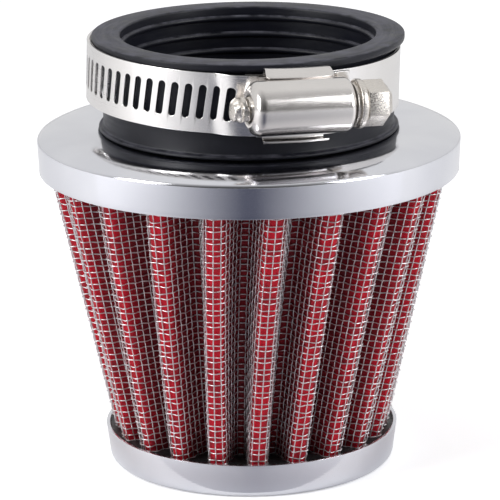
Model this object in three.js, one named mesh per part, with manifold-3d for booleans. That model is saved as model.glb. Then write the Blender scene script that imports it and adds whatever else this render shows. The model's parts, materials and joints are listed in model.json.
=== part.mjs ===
// Clamp-on cone air filter for a small motorcycle carburettor.
// Millimetres, +Z up. The origin is the centre of the bottom cap's underside, and -Y is the front,
// where the clamp's screw is. Azimuths are measured from -Y towards +X.
import * as THREE from "three";
import { mergeVertices } from "three/addons/utils/BufferGeometryUtils.js";
import { ParametricGeometry } from "three/addons/geometries/ParametricGeometry.js";
import Module from "manifold-3d";

const wasm = await Module();
wasm.setup();

// ---- Driving dimensions -------------------------------------------------------------------

const HEIGHT = 72.5; // underside of the bottom cap to the rim of the neck
const ROUND_SIDES = 40; // facets of every turned piece
const ROD_SIDES = 24; // facets of the screw's and the drum's round stretches
const OVERLAP = 0.5; // how far pieces that are joined into one solid run into each other
const CUT_MARGIN = 1; // how far a cutter reaches past what it cuts

// Rubber neck: a 42 mm inlet with sealing ribs, a clamp seat and a flange inside the top cap
const INLET_R = 21;
const NECK_R = 24;
const LIP_R = 25.7;
const LIP_HEIGHT = 1.3;
const LIP_CHAMFER = 0.55;
const RIB_HEIGHT = 0.6;
const RIB_HALF = 0.4;
const RIB_PITCH = 2.8;
const RIB_COUNT = 3;
const FIRST_RIB_DROP = 1.9;
const COLLAR_R = 24.8; // a low bead that lies on the cap
const COLLAR_HEIGHT = 0.7;
const NECK_EDGE = 0.4;
const GROOVE_R = 23.6;
const FLANGE_R = 30;
const FLANGE_THICKNESS = 1.4;

// Pressed steel caps
const SHEET = 0.6;
const TOP_CAP_R = 35;
const TOP_CAP_RIM_R = 34.8;
const TOP_CAP_TOP = 56.8;
const TOP_CAP_BOTTOM = 49.85;
const TOP_CAP_FLAT_R = 31.2; // the top is flat up to here and then falls gently
const TOP_CAP_FALL = 25; // how steep it is where it meets the corner, degrees
const TOP_CAP_SHOULDER_TOP = 55.8;
const TOP_CAP_FILLET = 0.8;
const TOP_CAP_HOLE_R = 24.1;
const CUP_BASE_R = 24;
const CUP_RIM_R = 24.57;
const CUP_HEIGHT = 5.85;
const CUP_FILLET = 1.3;
const POTTING_INSIDE_R = 22;
const POTTING_EDGE_WIDTH = 3; // the potting's upper edge keeps clear of the cap's falling top
const POTTING_EDGE_DROP = 2;
const FIT_GAP = 0.3; // clearance between neighbouring pieces that touch on the real filter

// Pleated pack: filter medium between two woven wire screens, rolled into a cone
const PACK_BOTTOM = 4.8;
const PACK_TOP = 50.8;
const PACK_TOP_R = 33.4;
const PACK_SLOPE = 0.2253; // radius lost per millimetre of height
const PLEATS = 21;
const PLEAT_DEPTH = 6;
const RIDGE_HALF = 1.6;
const VALLEY_HALF = 0.5;
const FOLD_BEVEL = 0.35;
const FOLD_SPREAD = 0.76; // how much a fold's half-width changes per millimetre into the wall
const FIRST_RIDGE = 4.7; // azimuth of a ridge at the top of the pack, degrees
const TWIST = 5.2; // how far the pack is twisted from top to bottom, degrees
const ROLL_UNEVENNESS = 3; // pleats are bunched and spread by up to this angle, degrees
const ROLL_BUNCHED_AT = 15;
const SCREEN = 0.35;
const LAYER_GAP = 0.1;
const MEDIUM = 0.7;
const SEAM_WIDTH = 2.6;
const SEAM_DEPTH = 1.6;
const SEAM_SHEET = 0.4;
const SEAM_END_GAP = 1;

// Worm-drive hose clamp, which sits loose on the neck: a little off centre and tilted
const CLAMP_CENTRE = new THREE.Vector3(-0.85, 0, 66.2);
const CLAMP_TILT = 1.8;
const BAND_R = 25.25;
const BAND_THICKNESS = 0.5;
const BAND_WIDTH = 9.7;
const STRAP_R = 26.4; // inside of the layer that runs under the screw
const RAMP_START = -11;
const RAMP_END = -2;
const BAND_ROOT = 0.5; // where the loop starts, under the housing, degrees
const BAND_TIP = 5; // where the outer layer of the loop stops, inside the housing
const TAIL_START = 10.9;
const TAIL_END = 38.5;
const ARC_STEP = 5; // degrees per facet of the clamp's curved sheets
const SLOT_LENGTH = 5.5;
const SLOT_WIDTH = 1.2;
const SLOT_PITCH = 5.22; // degrees, on the loop
const SLOT_COUNT = 30;
const FIRST_SLOT = -4.4;
const SLOT_LIFT = 0.1;
const TAIL_SLOTS = 5;
const CURVE_SIDES = 2; // half the facets of each half-round slot end

// Screw housing, seen along the screw: s runs from the tip (negative) to the hexagon (positive)
const SCREW_AZIMUTH = 18.5;
const SCREW_DISTANCE = 29.9;
const SCREW_LIFT = 0.5;
const WORM_PITCH = 2.35;
const WORM_CORE_R = 2.7;
const THREAD_R = 3.03;
const THREAD_SECTION_R = 0.42;
const THREAD_RUN_OUT = 1;
const WORM_FROM = -8.0;
const WORM_TO = 6.9;
const SHANK_R = 3.2;
const TIP_R = 2;
const TIP_END = -12.1;
const HEAD_FROM = 7.75;
const HEAD_R = 3.93;
const HEX_FROM = 9.6;
const HEX_TO = 13.9;
const HEX_FLATS = 6.5;
const DRUM_R = 4.2;
const DRUM_WALL = 0.5;
const DRUM_FROM = -9.2;
const DRUM_TO = 7.45;
const TIP_CLEARANCE = 0.25;
const FOOT_R = 27.1;
const FOOT_THICKNESS = 0.4;
const FOOT_SPAN = 14;
const FOOT_EDGES = [
  [-4.8, -2.3],
  [3.3, 4.8],
];
const STRAP_ROOM_HEIGHT = 20; // the cutter that opens the drum towards the strap
const STRAP_ROOM_SIDES = 72;
const SADDLE_R = 25.9;
const SADDLE_THICKNESS = 0.35;
const SADDLE_FROM = -11.7;
const SADDLE_TO = 10.7;
const EAR_R = 27.65;
const EAR_THICKNESS = 0.45;
const EAR_EDGES = [
  [-5.9, -3.5],
  [4.45, 6.1],
];
const STRAP_PLAY = 0.15; // between the strap's edges and the saddle's walls
const THREAD_STEPS = 10; // facets of the thread in one turn

// ---- Finishes -----------------------------------------------------------------------------

const steel = (color) => new THREE.MeshStandardMaterial({ color, roughness: 0.3, metalness: 1 });
const dull = (color) => new THREE.MeshStandardMaterial({ color, roughness: 0.9, metalness: 0 });
const FINISHES = {
  rubber: () => dull(0x202226),
  capSteel: () => steel(0xd4d5dc),
  potting: () => dull(0x151516),
  wire: () => steel(0xc3c6c9),
  medium: () => dull(0xb3122a),
  clampSteel: () => steel(0xdedcd9),
  screwSteel: () => steel(0xc9c1b4),
};

// ---- Helpers ------------------------------------------------------------------------------

const radians = THREE.MathUtils.degToRad;
const degrees = THREE.MathUtils.radToDeg;

// A point at a radius, an azimuth in degrees and a height.
function around(radius, azimuth, height) {
  const angle = radians(azimuth);
  return new THREE.Vector3(radius * Math.sin(angle), -radius * Math.cos(angle), height);
}

// The frame of something that stands on a round face: x runs along the face, y up and z outwards.
function faceFrame(radius, azimuth, height) {
  const angle = radians(azimuth);
  const along = new THREE.Vector3(Math.cos(angle), Math.sin(angle), 0);
  const up = new THREE.Vector3(0, 0, 1);
  const outward = new THREE.Vector3(Math.sin(angle), -Math.cos(angle), 0);
  return new THREE.Matrix4().makeBasis(along, up, outward).setPosition(around(radius, azimuth, height));
}

function toSolid(geometry) {
  const bare = geometry.clone();
  bare.deleteAttribute("normal");
  bare.deleteAttribute("uv");
  const merged = mergeVertices(bare, 1e-4);
  return new wasm.Manifold(
    new wasm.Mesh({
      numProp: 3,
      vertProperties: merged.attributes.position.array,
      triVerts: new Uint32Array(merged.index.array),
    }),
  );
}

function toGeometry(solid) {
  const mesh = solid.getMesh();
  const geometry = new THREE.BufferGeometry();
  geometry.setAttribute("position", new THREE.BufferAttribute(mesh.vertProperties, 3));
  geometry.setIndex(new THREE.BufferAttribute(mesh.triVerts, 1));
  geometry.computeVertexNormals();
  return geometry;
}

function piece(name, geometry, finish) {
  const mesh = new THREE.Mesh(geometry, FINISHES[finish]());
  mesh.name = name;
  return mesh;
}

// A turned piece. The profile is a list of [radius, height] pairs; the body lies on its left.
function turned(profile) {
  const points = profile.map(([radius, height]) => new THREE.Vector2(radius, height));
  return new THREE.LatheGeometry(points, ROUND_SIDES).rotateX(Math.PI / 2);
}

// Points of a rounded corner between two directions, as [radius, height] pairs.
function corner(centreR, centreZ, size, fromDegrees, toDegrees, steps = 3) {
  const points = [];
  for (let i = 0; i <= steps; i += 1) {
    const angle = radians(fromDegrees + ((toDegrees - fromDegrees) * i) / steps);
    points.push([centreR + size * Math.cos(angle), centreZ + size * Math.sin(angle)]);
  }
  return points;
}

// A piece of curved sheet that stands upright: radiusAt gives its inner radius at each azimuth.
function bentSheet(radiusAt, thickness, fromAzimuth, toAzimuth, low, high) {
  const steps = Math.ceil((toAzimuth - fromAzimuth) / ARC_STEP);
  const azimuths = Array.from({ length: steps + 1 }, (_, i) => {
    return fromAzimuth + ((toAzimuth - fromAzimuth) * i) / steps;
  });
  const inner = azimuths.map((azimuth) => around(radiusAt(azimuth), azimuth, 0));
  const outer = azimuths.map((azimuth) => around(radiusAt(azimuth) + thickness, azimuth, 0));
  const shape = new THREE.Shape([...outer, ...inner.reverse()].map((p) => new THREE.Vector2(p.x, p.y)));
  const geometry = new THREE.ExtrudeGeometry(shape, { depth: high - low, bevelEnabled: false });
  return geometry.translate(0, 0, low);
}

// A disc or rod along the screw, in the housing's frame, from one place on the screw to another.
function rod(radius, from, to, sides = ROD_SIDES) {
  const geometry = new THREE.CylinderGeometry(radius, radius, to - from, sides);
  return geometry.rotateZ(-Math.PI / 2).translate((from + to) / 2, 0, 0);
}

// ---- Rubber neck --------------------------------------------------------------------------

function neckGeometry() {
  const flangeTop = TOP_CAP_TOP - SHEET - FIT_GAP;
  const flangeBottom = flangeTop - FLANGE_THICKNESS;
  const collarBottom = TOP_CAP_TOP + FIT_GAP;
  const collarTop = TOP_CAP_TOP + COLLAR_HEIGHT;
  const lipBottom = HEIGHT - LIP_HEIGHT;
  const edge = NECK_EDGE;
  const profile = [
    [INLET_R, flangeBottom],
    [FLANGE_R, flangeBottom],
    [FLANGE_R, flangeTop],
    [GROOVE_R, flangeTop],
    [GROOVE_R, collarBottom],
    [COLLAR_R, collarBottom],
    [COLLAR_R, collarTop - edge],
    [COLLAR_R - edge, collarTop],
    [NECK_R, collarTop],
    [NECK_R, lipBottom],
    [LIP_R - LIP_CHAMFER, lipBottom],
    [LIP_R, lipBottom + LIP_CHAMFER],
    [LIP_R, HEIGHT - edge / 2],
    [LIP_R - edge / 2, HEIGHT],
    [INLET_R + edge, HEIGHT],
    [INLET_R, HEIGHT - edge],
  ];
  for (let i = 0; i < RIB_COUNT; i += 1) {
    const crest = HEIGHT - FIRST_RIB_DROP - i * RIB_PITCH;
    profile.push([INLET_R, crest + RIB_HALF], [INLET_R - RIB_HEIGHT, crest], [INLET_R, crest - RIB_HALF]);
  }
  profile.push([INLET_R, flangeBottom]);
  return turned(profile);
}

// ---- Caps and the potting that bonds the pack into them ------------------------------------

function topCapGeometry() {
  const bend = TOP_CAP_FILLET;
  const shoulderR = TOP_CAP_R - bend;
  const shoulderZ = TOP_CAP_SHOULDER_TOP - bend;
  const fallFrom = 90 - TOP_CAP_FALL;
  return turned([
    [TOP_CAP_HOLE_R, TOP_CAP_TOP],
    [TOP_CAP_HOLE_R, TOP_CAP_TOP - SHEET],
    [TOP_CAP_FLAT_R, TOP_CAP_TOP - SHEET],
    ...corner(shoulderR, shoulderZ, bend - SHEET, fallFrom, 0),
    [TOP_CAP_RIM_R - SHEET, TOP_CAP_BOTTOM],
    [TOP_CAP_RIM_R, TOP_CAP_BOTTOM],
    ...corner(shoulderR, shoulderZ, bend, 0, fallFrom),
    [TOP_CAP_FLAT_R, TOP_CAP_TOP],
    [TOP_CAP_HOLE_R, TOP_CAP_TOP],
  ]);
}

function topPottingGeometry() {
  const low = PACK_TOP + FIT_GAP;
  const flangeFloor = TOP_CAP_TOP - SHEET - 2 * FIT_GAP - FLANGE_THICKNESS;
  const high = TOP_CAP_TOP - SHEET - FIT_GAP;
  const outer = TOP_CAP_RIM_R - SHEET - FIT_GAP;
  return turned([
    [POTTING_INSIDE_R, low],
    [outer, low],
    [outer, high - POTTING_EDGE_DROP],
    [outer - POTTING_EDGE_WIDTH, high],
    [FLANGE_R + FIT_GAP, high],
    [FLANGE_R + FIT_GAP, flangeFloor],
    [POTTING_INSIDE_R, flangeFloor],
    [POTTING_INSIDE_R, low],
  ]);
}

function bottomCapGeometry() {
  const bend = CUP_FILLET;
  const bendR = CUP_BASE_R - bend;
  return turned([
    [0, 0],
    ...corner(bendR, bend, bend, -90, 0),
    [CUP_RIM_R, CUP_HEIGHT],
    [CUP_RIM_R - SHEET, CUP_HEIGHT],
    ...corner(bendR, bend, bend - SHEET, 0, -90),
    [0, SHEET],
  ]);
}

function bottomPottingGeometry() {
  const low = SHEET + FIT_GAP;
  const high = PACK_BOTTOM - FIT_GAP;
  const outer = CUP_BASE_R - SHEET - FIT_GAP;
  return turned([
    [0, low],
    [outer - CUP_FILLET / 2, low],
    [outer, low + CUP_FILLET / 2],
    [outer, high],
    [0, high],
  ]);
}

// ---- Pleated pack -------------------------------------------------------------------------

// The pack's outermost radius at a height.
function packRadius(height) {
  return PACK_TOP_R - PACK_SLOPE * (PACK_TOP - height);
}

// Where a fold lies: the pack is twisted, and its pleats are not spread quite evenly.
function foldAzimuth(fold, height) {
  const even = FIRST_RIDGE + (fold * 360) / PLEATS;
  const uneven = ROLL_UNEVENNESS * Math.cos(radians(even - ROLL_BUNCHED_AT));
  return even + uneven - (TWIST * (PACK_TOP - height)) / (PACK_TOP - PACK_BOTTOM);
}

// The corners of a pleat: a bevelled ridge, then the valley half a pleat further on.
const PLEAT_CORNERS = [
  { fold: 0, side: -1, bevel: FOLD_BEVEL, inset: 0 },
  { fold: 0, side: -1, bevel: 0, inset: FOLD_BEVEL },
  { fold: 0, side: 1, bevel: 0, inset: FOLD_BEVEL },
  { fold: 0, side: 1, bevel: FOLD_BEVEL, inset: 0 },
  { fold: 0.5, side: -1, bevel: 0, inset: 0 },
  { fold: 0.5, side: 1, bevel: 0, inset: 0 },
];

// A pleat's corner on the surface that lies a depth below the pack's face.
function pleatCorner(index, depth, height) {
  const { fold, side, bevel, inset } = PLEAT_CORNERS[index % PLEAT_CORNERS.length];
  const pleat = Math.floor(index / PLEAT_CORNERS.length);
  const isRidge = fold === 0;
  const halfWidth = isRidge ? RIDGE_HALF - FOLD_SPREAD * depth : VALLEY_HALF + FOLD_SPREAD * depth;
  const foldDepth = isRidge ? bevel : PLEAT_DEPTH;
  const radius = packRadius(height) - foldDepth - depth;
  const across = side * (halfWidth - inset);
  return around(radius, foldAzimuth(pleat + fold, height) + degrees(across / radius), height);
}

// The filled body inside the pleated surface that lies a depth below the pack's face.
function pleatedBody(depth, overshoot) {
  const slices = PLEATS * PLEAT_CORNERS.length;
  const stacks = 3;
  const low = PACK_BOTTOM - overshoot;
  const high = PACK_TOP + overshoot;
  const surface = (u, v, target) => {
    const level = Math.round(v * stacks);
    const height = level < 2 ? low : high;
    const index = Math.round(u * slices) % slices;
    if (level === 0 || level === stacks) target.set(0, 0, height);
    else target.copy(pleatCorner(index, depth, height));
  };
  return toSolid(new ParametricGeometry(surface, slices, stacks));
}

function pleatedLayer(depth, thickness) {
  return toGeometry(pleatedBody(depth, 0).subtract(pleatedBody(depth + thickness, FIT_GAP)));
}

// The folded strip that grips the two ends of the pack, inside the pleat at the back.
function seamGeometry() {
  const backFold = Math.round(PLEATS / 2) - 0.5;
  const depth = PLEAT_DEPTH + 2 * (SCREEN + LAYER_GAP) + MEDIUM + FIT_GAP;
  const half = SEAM_WIDTH / 2;
  const channel = new THREE.Shape([
    new THREE.Vector2(-half, 0),
    new THREE.Vector2(-half, -SEAM_DEPTH),
    new THREE.Vector2(half, -SEAM_DEPTH),
    new THREE.Vector2(half, 0),
    new THREE.Vector2(half - SEAM_SHEET, 0),
    new THREE.Vector2(half - SEAM_SHEET, SEAM_SHEET - SEAM_DEPTH),
    new THREE.Vector2(SEAM_SHEET - half, SEAM_SHEET - SEAM_DEPTH),
    new THREE.Vector2(SEAM_SHEET - half, 0),
  ]);
  const geometry = new THREE.ExtrudeGeometry(channel, { depth: 1, bevelEnabled: false });
  const spots = geometry.getAttribute("position");
  for (let i = 0; i < spots.count; i += 1) {
    const height = spots.getZ(i) > 0.5 ? PACK_BOTTOM + SEAM_END_GAP : PACK_TOP - SEAM_END_GAP;
    const frame = faceFrame(packRadius(height) - depth, foldAzimuth(backFold, height), height);
    const spot = new THREE.Vector3(spots.getX(i), 0, spots.getY(i)).applyMatrix4(frame);
    spots.setXYZ(i, spot.x, spot.y, spot.z);
  }
  return geometry;
}

// ---- Hose clamp ---------------------------------------------------------------------------

// The slots lean by the worm's lead, so that its thread runs along them.
const SLOT_LEAN = Math.atan(WORM_PITCH / (2 * Math.PI * THREAD_R));

function slotCutter(azimuth) {
  const radius = SLOT_WIDTH / 2;
  const reach = SLOT_LENGTH / 2 - radius;
  const shape = new THREE.Shape();
  shape.absarc(0, reach, radius, 0, Math.PI);
  shape.absarc(0, -reach, radius, Math.PI, 2 * Math.PI);
  const depth = STRAP_R - BAND_R + BAND_THICKNESS + 2 * CUT_MARGIN;
  const options = { depth, bevelEnabled: false, curveSegments: CURVE_SIDES };
  const cutter = new THREE.ExtrudeGeometry(shape, options).rotateZ(-SLOT_LEAN);
  return toSolid(cutter.applyMatrix4(faceFrame(BAND_R - CUT_MARGIN, azimuth, SLOT_LIFT)));
}

function cutSlots(sheet, firstAzimuth, pitch, count) {
  let solid = toSolid(sheet);
  for (let i = 0; i < count; i += 1) {
    solid = solid.subtract(slotCutter(firstAzimuth + i * pitch));
  }
  return toGeometry(solid);
}

// The loop starts under the housing, goes round the neck and climbs onto its own start.
function bandRadius(azimuth) {
  const turnedBy = azimuth - 360;
  const climb = THREE.MathUtils.smoothstep(turnedBy, RAMP_START, RAMP_END);
  return BAND_R + (STRAP_R - BAND_R) * climb;
}

function bandGeometry() {
  const half = BAND_WIDTH / 2;
  const sheet = bentSheet(bandRadius, BAND_THICKNESS, BAND_ROOT, 360 + BAND_TIP, -half, half);
  return cutSlots(sheet, FIRST_SLOT, -SLOT_PITCH, SLOT_COUNT);
}

function tailGeometry() {
  const half = BAND_WIDTH / 2;
  const pitch = degrees(WORM_PITCH / (STRAP_R + BAND_THICKNESS / 2));
  const sheet = bentSheet(() => STRAP_R, BAND_THICKNESS, TAIL_START, TAIL_END, -half, half);
  return cutSlots(sheet, SCREW_AZIMUTH - pitch, pitch, TAIL_SLOTS);
}

// The saddle lies between the two layers, goes up past the strap's edges and folds over the feet.
function saddleGeometry() {
  const from = SCREW_AZIMUTH + SADDLE_FROM;
  const to = SCREW_AZIMUTH + SADDLE_TO;
  const wallIn = BAND_WIDTH / 2 + STRAP_PLAY;
  const wallOut = wallIn + EAR_THICKNESS;
  const wallHeight = EAR_R + EAR_THICKNESS - SADDLE_R;
  const plates = [
    bentSheet(() => SADDLE_R, SADDLE_THICKNESS, from, to, -wallOut, wallOut),
    bentSheet(() => SADDLE_R, wallHeight, from, to, wallIn, wallOut),
    bentSheet(() => SADDLE_R, wallHeight, from, to, -wallOut, -wallIn),
    ...EAR_EDGES.map(([low, high]) => bentSheet(() => EAR_R, EAR_THICKNESS, from, to, low, high)),
  ];
  return toGeometry(plates.map(toSolid).reduce((whole, plate) => whole.add(plate)));
}

// The pressed drum over the worm: open along the strap and at the head, closed round the tip.
function housingGeometry(screwFrame) {
  const place = (geometry) => toSolid(geometry.applyMatrix4(screwFrame));
  const drum = place(rod(DRUM_R, DRUM_FROM, DRUM_TO));
  const bore = place(rod(DRUM_R - DRUM_WALL, DRUM_FROM + DRUM_WALL, DRUM_TO + CUT_MARGIN));
  const tipHole = place(rod(TIP_R + TIP_CLEARANCE, DRUM_FROM - CUT_MARGIN, DRUM_FROM + CUT_MARGIN));
  const from = SCREW_AZIMUTH - FOOT_SPAN;
  const to = SCREW_AZIMUTH + FOOT_SPAN;
  const feet = FOOT_EDGES.map(([low, high]) => {
    return toSolid(bentSheet(() => FOOT_R, FOOT_THICKNESS, from, to, low, high));
  });
  const strapRoom = new THREE.CylinderGeometry(FOOT_R, FOOT_R, STRAP_ROOM_HEIGHT, STRAP_ROOM_SIDES);
  strapRoom.rotateX(Math.PI / 2);
  const pressed = drum.add(feet[0]).add(feet[1]);
  return toGeometry(pressed.subtract(bore).subtract(tipHole).subtract(toSolid(strapRoom)));
}

// A right-handed helix along x whose crest faces the strap at x = 0.
class Helix extends THREE.Curve {
  constructor(from, to) {
    super();
    this.from = from;
    this.to = to;
  }

  getPoint(t, target = new THREE.Vector3()) {
    const along = this.from + (this.to - this.from) * t;
    const angle = (along / WORM_PITCH) * 2 * Math.PI - Math.PI / 2;
    return target.set(along, THREAD_R * Math.cos(angle), THREAD_R * Math.sin(angle));
  }
}

function screwGeometry() {
  const section = new THREE.Shape();
  section.absarc(0, 0, THREAD_SECTION_R, 0, 2 * Math.PI);
  const run = new Helix(WORM_FROM + THREAD_RUN_OUT, WORM_TO - THREAD_RUN_OUT);
  const steps = Math.round(((run.to - run.from) / WORM_PITCH) * THREAD_STEPS);
  const sweep = { extrudePath: run, steps, bevelEnabled: false, curveSegments: 3 };
  const thread = new THREE.ExtrudeGeometry(section, sweep);
  const hexagon = rod(HEX_FLATS / Math.sqrt(3), HEX_FROM - OVERLAP, HEX_TO, 6);
  const stock = [
    rod(WORM_CORE_R, WORM_FROM, WORM_TO + OVERLAP),
    rod(SHANK_R, WORM_TO, HEAD_FROM + OVERLAP),
    rod(HEAD_R, HEAD_FROM, HEX_FROM),
    rod(TIP_R, TIP_END, WORM_FROM + OVERLAP),
    hexagon,
    thread,
  ];
  return toGeometry(stock.map(toSolid).reduce((whole, part) => whole.add(part)));
}

// ---- Assembly -----------------------------------------------------------------------------

const filter = new THREE.Group();

filter.add(piece("rubber_neck", neckGeometry(), "rubber"));
filter.add(piece("top_cap", topCapGeometry(), "capSteel"));
filter.add(piece("top_potting", topPottingGeometry(), "potting"));
filter.add(piece("bottom_potting", bottomPottingGeometry(), "potting"));
filter.add(piece("bottom_cap", bottomCapGeometry(), "capSteel"));

const mediumDepth = SCREEN + LAYER_GAP;
const innerDepth = mediumDepth + MEDIUM + LAYER_GAP;
filter.add(piece("outer_mesh", pleatedLayer(0, SCREEN), "wire"));
filter.add(piece("filter_media", pleatedLayer(mediumDepth, MEDIUM), "medium"));
filter.add(piece("inner_mesh", pleatedLayer(innerDepth, SCREEN), "wire"));
filter.add(piece("seam_clip", seamGeometry(), "wire"));

const clamp = new THREE.Group();
clamp.position.copy(CLAMP_CENTRE);
clamp.rotation.y = radians(CLAMP_TILT);
clamp.add(piece("clamp_band", bandGeometry(), "clampSteel"));
clamp.add(piece("strap_tail", tailGeometry(), "clampSteel"));
clamp.add(piece("clamp_saddle", saddleGeometry(), "clampSteel"));

const screwFrame = faceFrame(SCREW_DISTANCE, SCREW_AZIMUTH, SCREW_LIFT);
clamp.add(piece("clamp_housing", housingGeometry(screwFrame), "screwSteel"));

const screwLine = new THREE.Group();
screwLine.applyMatrix4(screwFrame);
screwLine.add(piece("worm_screw", screwGeometry(), "screwSteel"));
clamp.add(screwLine);
filter.add(clamp);

export default filter;
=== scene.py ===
# %% [markdown]
# # A cone air filter on its hose clamp
# The fixed frame is the engineering model: every node has its true size and place, and the clamp
# has its joints. This lesson builds the fine surfaces on it, piece by piece, in metres.

# %% Load the fixed frame
import json
import math
from collections import Counter

import bpy
import numpy as np
from mathutils import Matrix, Vector, noise


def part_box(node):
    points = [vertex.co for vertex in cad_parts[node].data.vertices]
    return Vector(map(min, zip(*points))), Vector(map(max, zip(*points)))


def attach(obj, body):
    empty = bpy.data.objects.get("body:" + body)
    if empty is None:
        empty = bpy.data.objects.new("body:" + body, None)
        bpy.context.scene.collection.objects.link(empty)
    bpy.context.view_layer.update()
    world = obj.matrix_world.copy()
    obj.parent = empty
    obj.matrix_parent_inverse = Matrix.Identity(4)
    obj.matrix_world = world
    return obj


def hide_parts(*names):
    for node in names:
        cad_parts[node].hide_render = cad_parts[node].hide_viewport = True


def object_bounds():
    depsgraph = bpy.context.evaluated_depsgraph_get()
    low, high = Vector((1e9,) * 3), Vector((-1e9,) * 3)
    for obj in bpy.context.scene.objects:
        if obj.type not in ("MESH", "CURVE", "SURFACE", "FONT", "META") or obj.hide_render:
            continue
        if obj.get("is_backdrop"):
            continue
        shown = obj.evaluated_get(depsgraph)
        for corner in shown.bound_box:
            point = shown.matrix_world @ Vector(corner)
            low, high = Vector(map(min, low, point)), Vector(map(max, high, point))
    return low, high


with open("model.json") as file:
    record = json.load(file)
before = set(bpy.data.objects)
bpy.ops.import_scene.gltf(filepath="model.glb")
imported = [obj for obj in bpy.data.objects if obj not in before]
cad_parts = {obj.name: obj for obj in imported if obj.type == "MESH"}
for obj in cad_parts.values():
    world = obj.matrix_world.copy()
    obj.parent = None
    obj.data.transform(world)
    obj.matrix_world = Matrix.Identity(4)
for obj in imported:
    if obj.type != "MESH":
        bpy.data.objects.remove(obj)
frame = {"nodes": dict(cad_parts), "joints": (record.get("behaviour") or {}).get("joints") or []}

cad_low, cad_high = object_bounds()
MM = 0.001
FULL_TURN = 2 * math.pi
print("size in mm:", [round(x / MM, 1) for x in cad_high - cad_low])

# %% [markdown]
# The sizes that every later cell needs are read from the nodes' boxes. The clamp sits on the neck a
# little off centre and tilted, so its own frame is taken from the joints: the strap feeds round the
# clamp's axis, and the screw turns about its own line.


# %% Sizes and frames from the model
def top_of(node):
    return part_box(node)[1].z


def bottom_of(node):
    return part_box(node)[0].z


def radius_of(node):
    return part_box(node)[1].x


joints = {joint["name"]: joint for joint in frame["joints"]}


def frame_matrix(along, up, place):
    """A frame whose x runs along, y up and z outwards, at a place."""
    outward = along.cross(up)
    return Matrix.Translation(place) @ Matrix((along, up, outward)).transposed().to_4x4()


clamp_axis = Vector(joints["strap_feed"]["axis"]).normalized()
clamp_centre = Vector(joints["strap_feed"]["pos_m"])
FRONT_TO_BACK = Vector((0, 1, 0))
clamp_sideways = FRONT_TO_BACK.cross(clamp_axis).normalized()
clamp_frame = Matrix.Translation(clamp_centre) @ Matrix(
    (clamp_sideways, FRONT_TO_BACK, clamp_axis)
).transposed().to_4x4()
screw_along = -Vector(joints["screw_turn"]["axis"]).normalized()
screw_frame = frame_matrix(screw_along, clamp_axis, Vector(joints["screw_turn"]["pos_m"]))
screw_in_clamp = clamp_frame.inverted() @ screw_frame
SCREW_AZIMUTH = math.degrees(math.atan2(screw_in_clamp[0][3], -screw_in_clamp[1][3]))
print("screw stands at", round(SCREW_AZIMUTH, 2), "degrees from the front")

# %% [markdown]
# ## Floor, light and camera
# A product stands on a pale table under soft light. The white dome gives the polished steel
# something bright to mirror, and a dark card, which only reflections see, gives it the dark bands
# that make metal read as metal. The camera looks down at the front of the filter.

# %% Camera
CAMERA_PLACE = Vector((0, -0.5072, 0.1775))
CAMERA_PITCH = math.radians(15.66)
CAMERA_ROLL = -0.00985
camera_data = bpy.data.cameras.new("camera")
camera_data.lens = 226.9
camera_data.sensor_width = 36
camera = bpy.data.objects.new("camera", camera_data)
bpy.context.scene.collection.objects.link(camera)
camera.matrix_world = (
    Matrix.Translation(CAMERA_PLACE)
    @ Matrix.Rotation(math.pi / 2 - CAMERA_PITCH, 4, "X")
    @ Matrix.Rotation(CAMERA_ROLL, 4, "Z")
)
bpy.context.scene.camera = camera
bpy.context.scene.view_settings.view_transform = "Standard"
print("camera at", tuple(round(x, 3) for x in camera.location))


# %% [markdown]
# A material here is a small network of nodes. These helpers add a node, set its plain values and
# join sockets, so that each material below reads as a list of what it is made of.

# %% Node helpers
def add_node(tree, kind, **values):
    """Adds a node; values set its own properties, and sockets where the name is a socket's."""
    made = tree.nodes.new(kind)
    for name, value in values.items():
        if hasattr(made, name):
            setattr(made, name, value)
        else:
            made.inputs[name.replace("_", " ")].default_value = value
    return made


def wire_up(tree, *pairs):
    for source, target in pairs:
        tree.links.new(source, target)


def maths(tree, operation, first, second=None):
    """A Math node fed by sockets or plain numbers."""
    made = add_node(tree, "ShaderNodeMath", operation=operation)
    for socket, value in zip(made.inputs, (first, second)):
        if isinstance(value, bpy.types.NodeSocket):
            tree.links.new(value, socket)
        elif value is not None:
            socket.default_value = value
    return made.outputs[0]


def spread_range(tree, value, low, high, to_low=0.0, to_high=1.0):
    """Stretches a value from one range onto another and clamps it there."""
    made = add_node(tree, "ShaderNodeMapRange")
    made.inputs["From Min"].default_value = low
    made.inputs["From Max"].default_value = high
    made.inputs["To Min"].default_value = to_low
    made.inputs["To Max"].default_value = to_high
    tree.links.new(value, made.inputs["Value"])
    return made.outputs[0]


def blend_colours(tree, share, first, second):
    """Mixes two colours; each may be a socket or a plain colour."""
    made = add_node(tree, "ShaderNodeMix", data_type="RGBA")
    tree.links.new(share, made.inputs["Factor"])
    for name, colour in (("A", first), ("B", second)):
        socket = [s for s in made.inputs if s.name == name and s.type == "RGBA"][0]
        if isinstance(colour, bpy.types.NodeSocket):
            tree.links.new(colour, socket)
        else:
            socket.default_value = (*colour, 1)
    return [s for s in made.outputs if s.type == "RGBA"][0]


def new_material(name, **constants):
    """A material with a Principled shader, whose constant values sit on its own sockets."""
    material = bpy.data.materials.new(name)
    material.use_nodes = True
    shader = material.node_tree.nodes["Principled BSDF"]
    for socket, value in constants.items():
        shader.inputs[socket.replace("_", " ")].default_value = value
    return material, material.node_tree, shader


# %% [markdown]
# The dome is light overhead, at the sides and behind, and falls off to nearly dark straight ahead,
# where the camera stands. Seen directly it is plain white.

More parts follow.
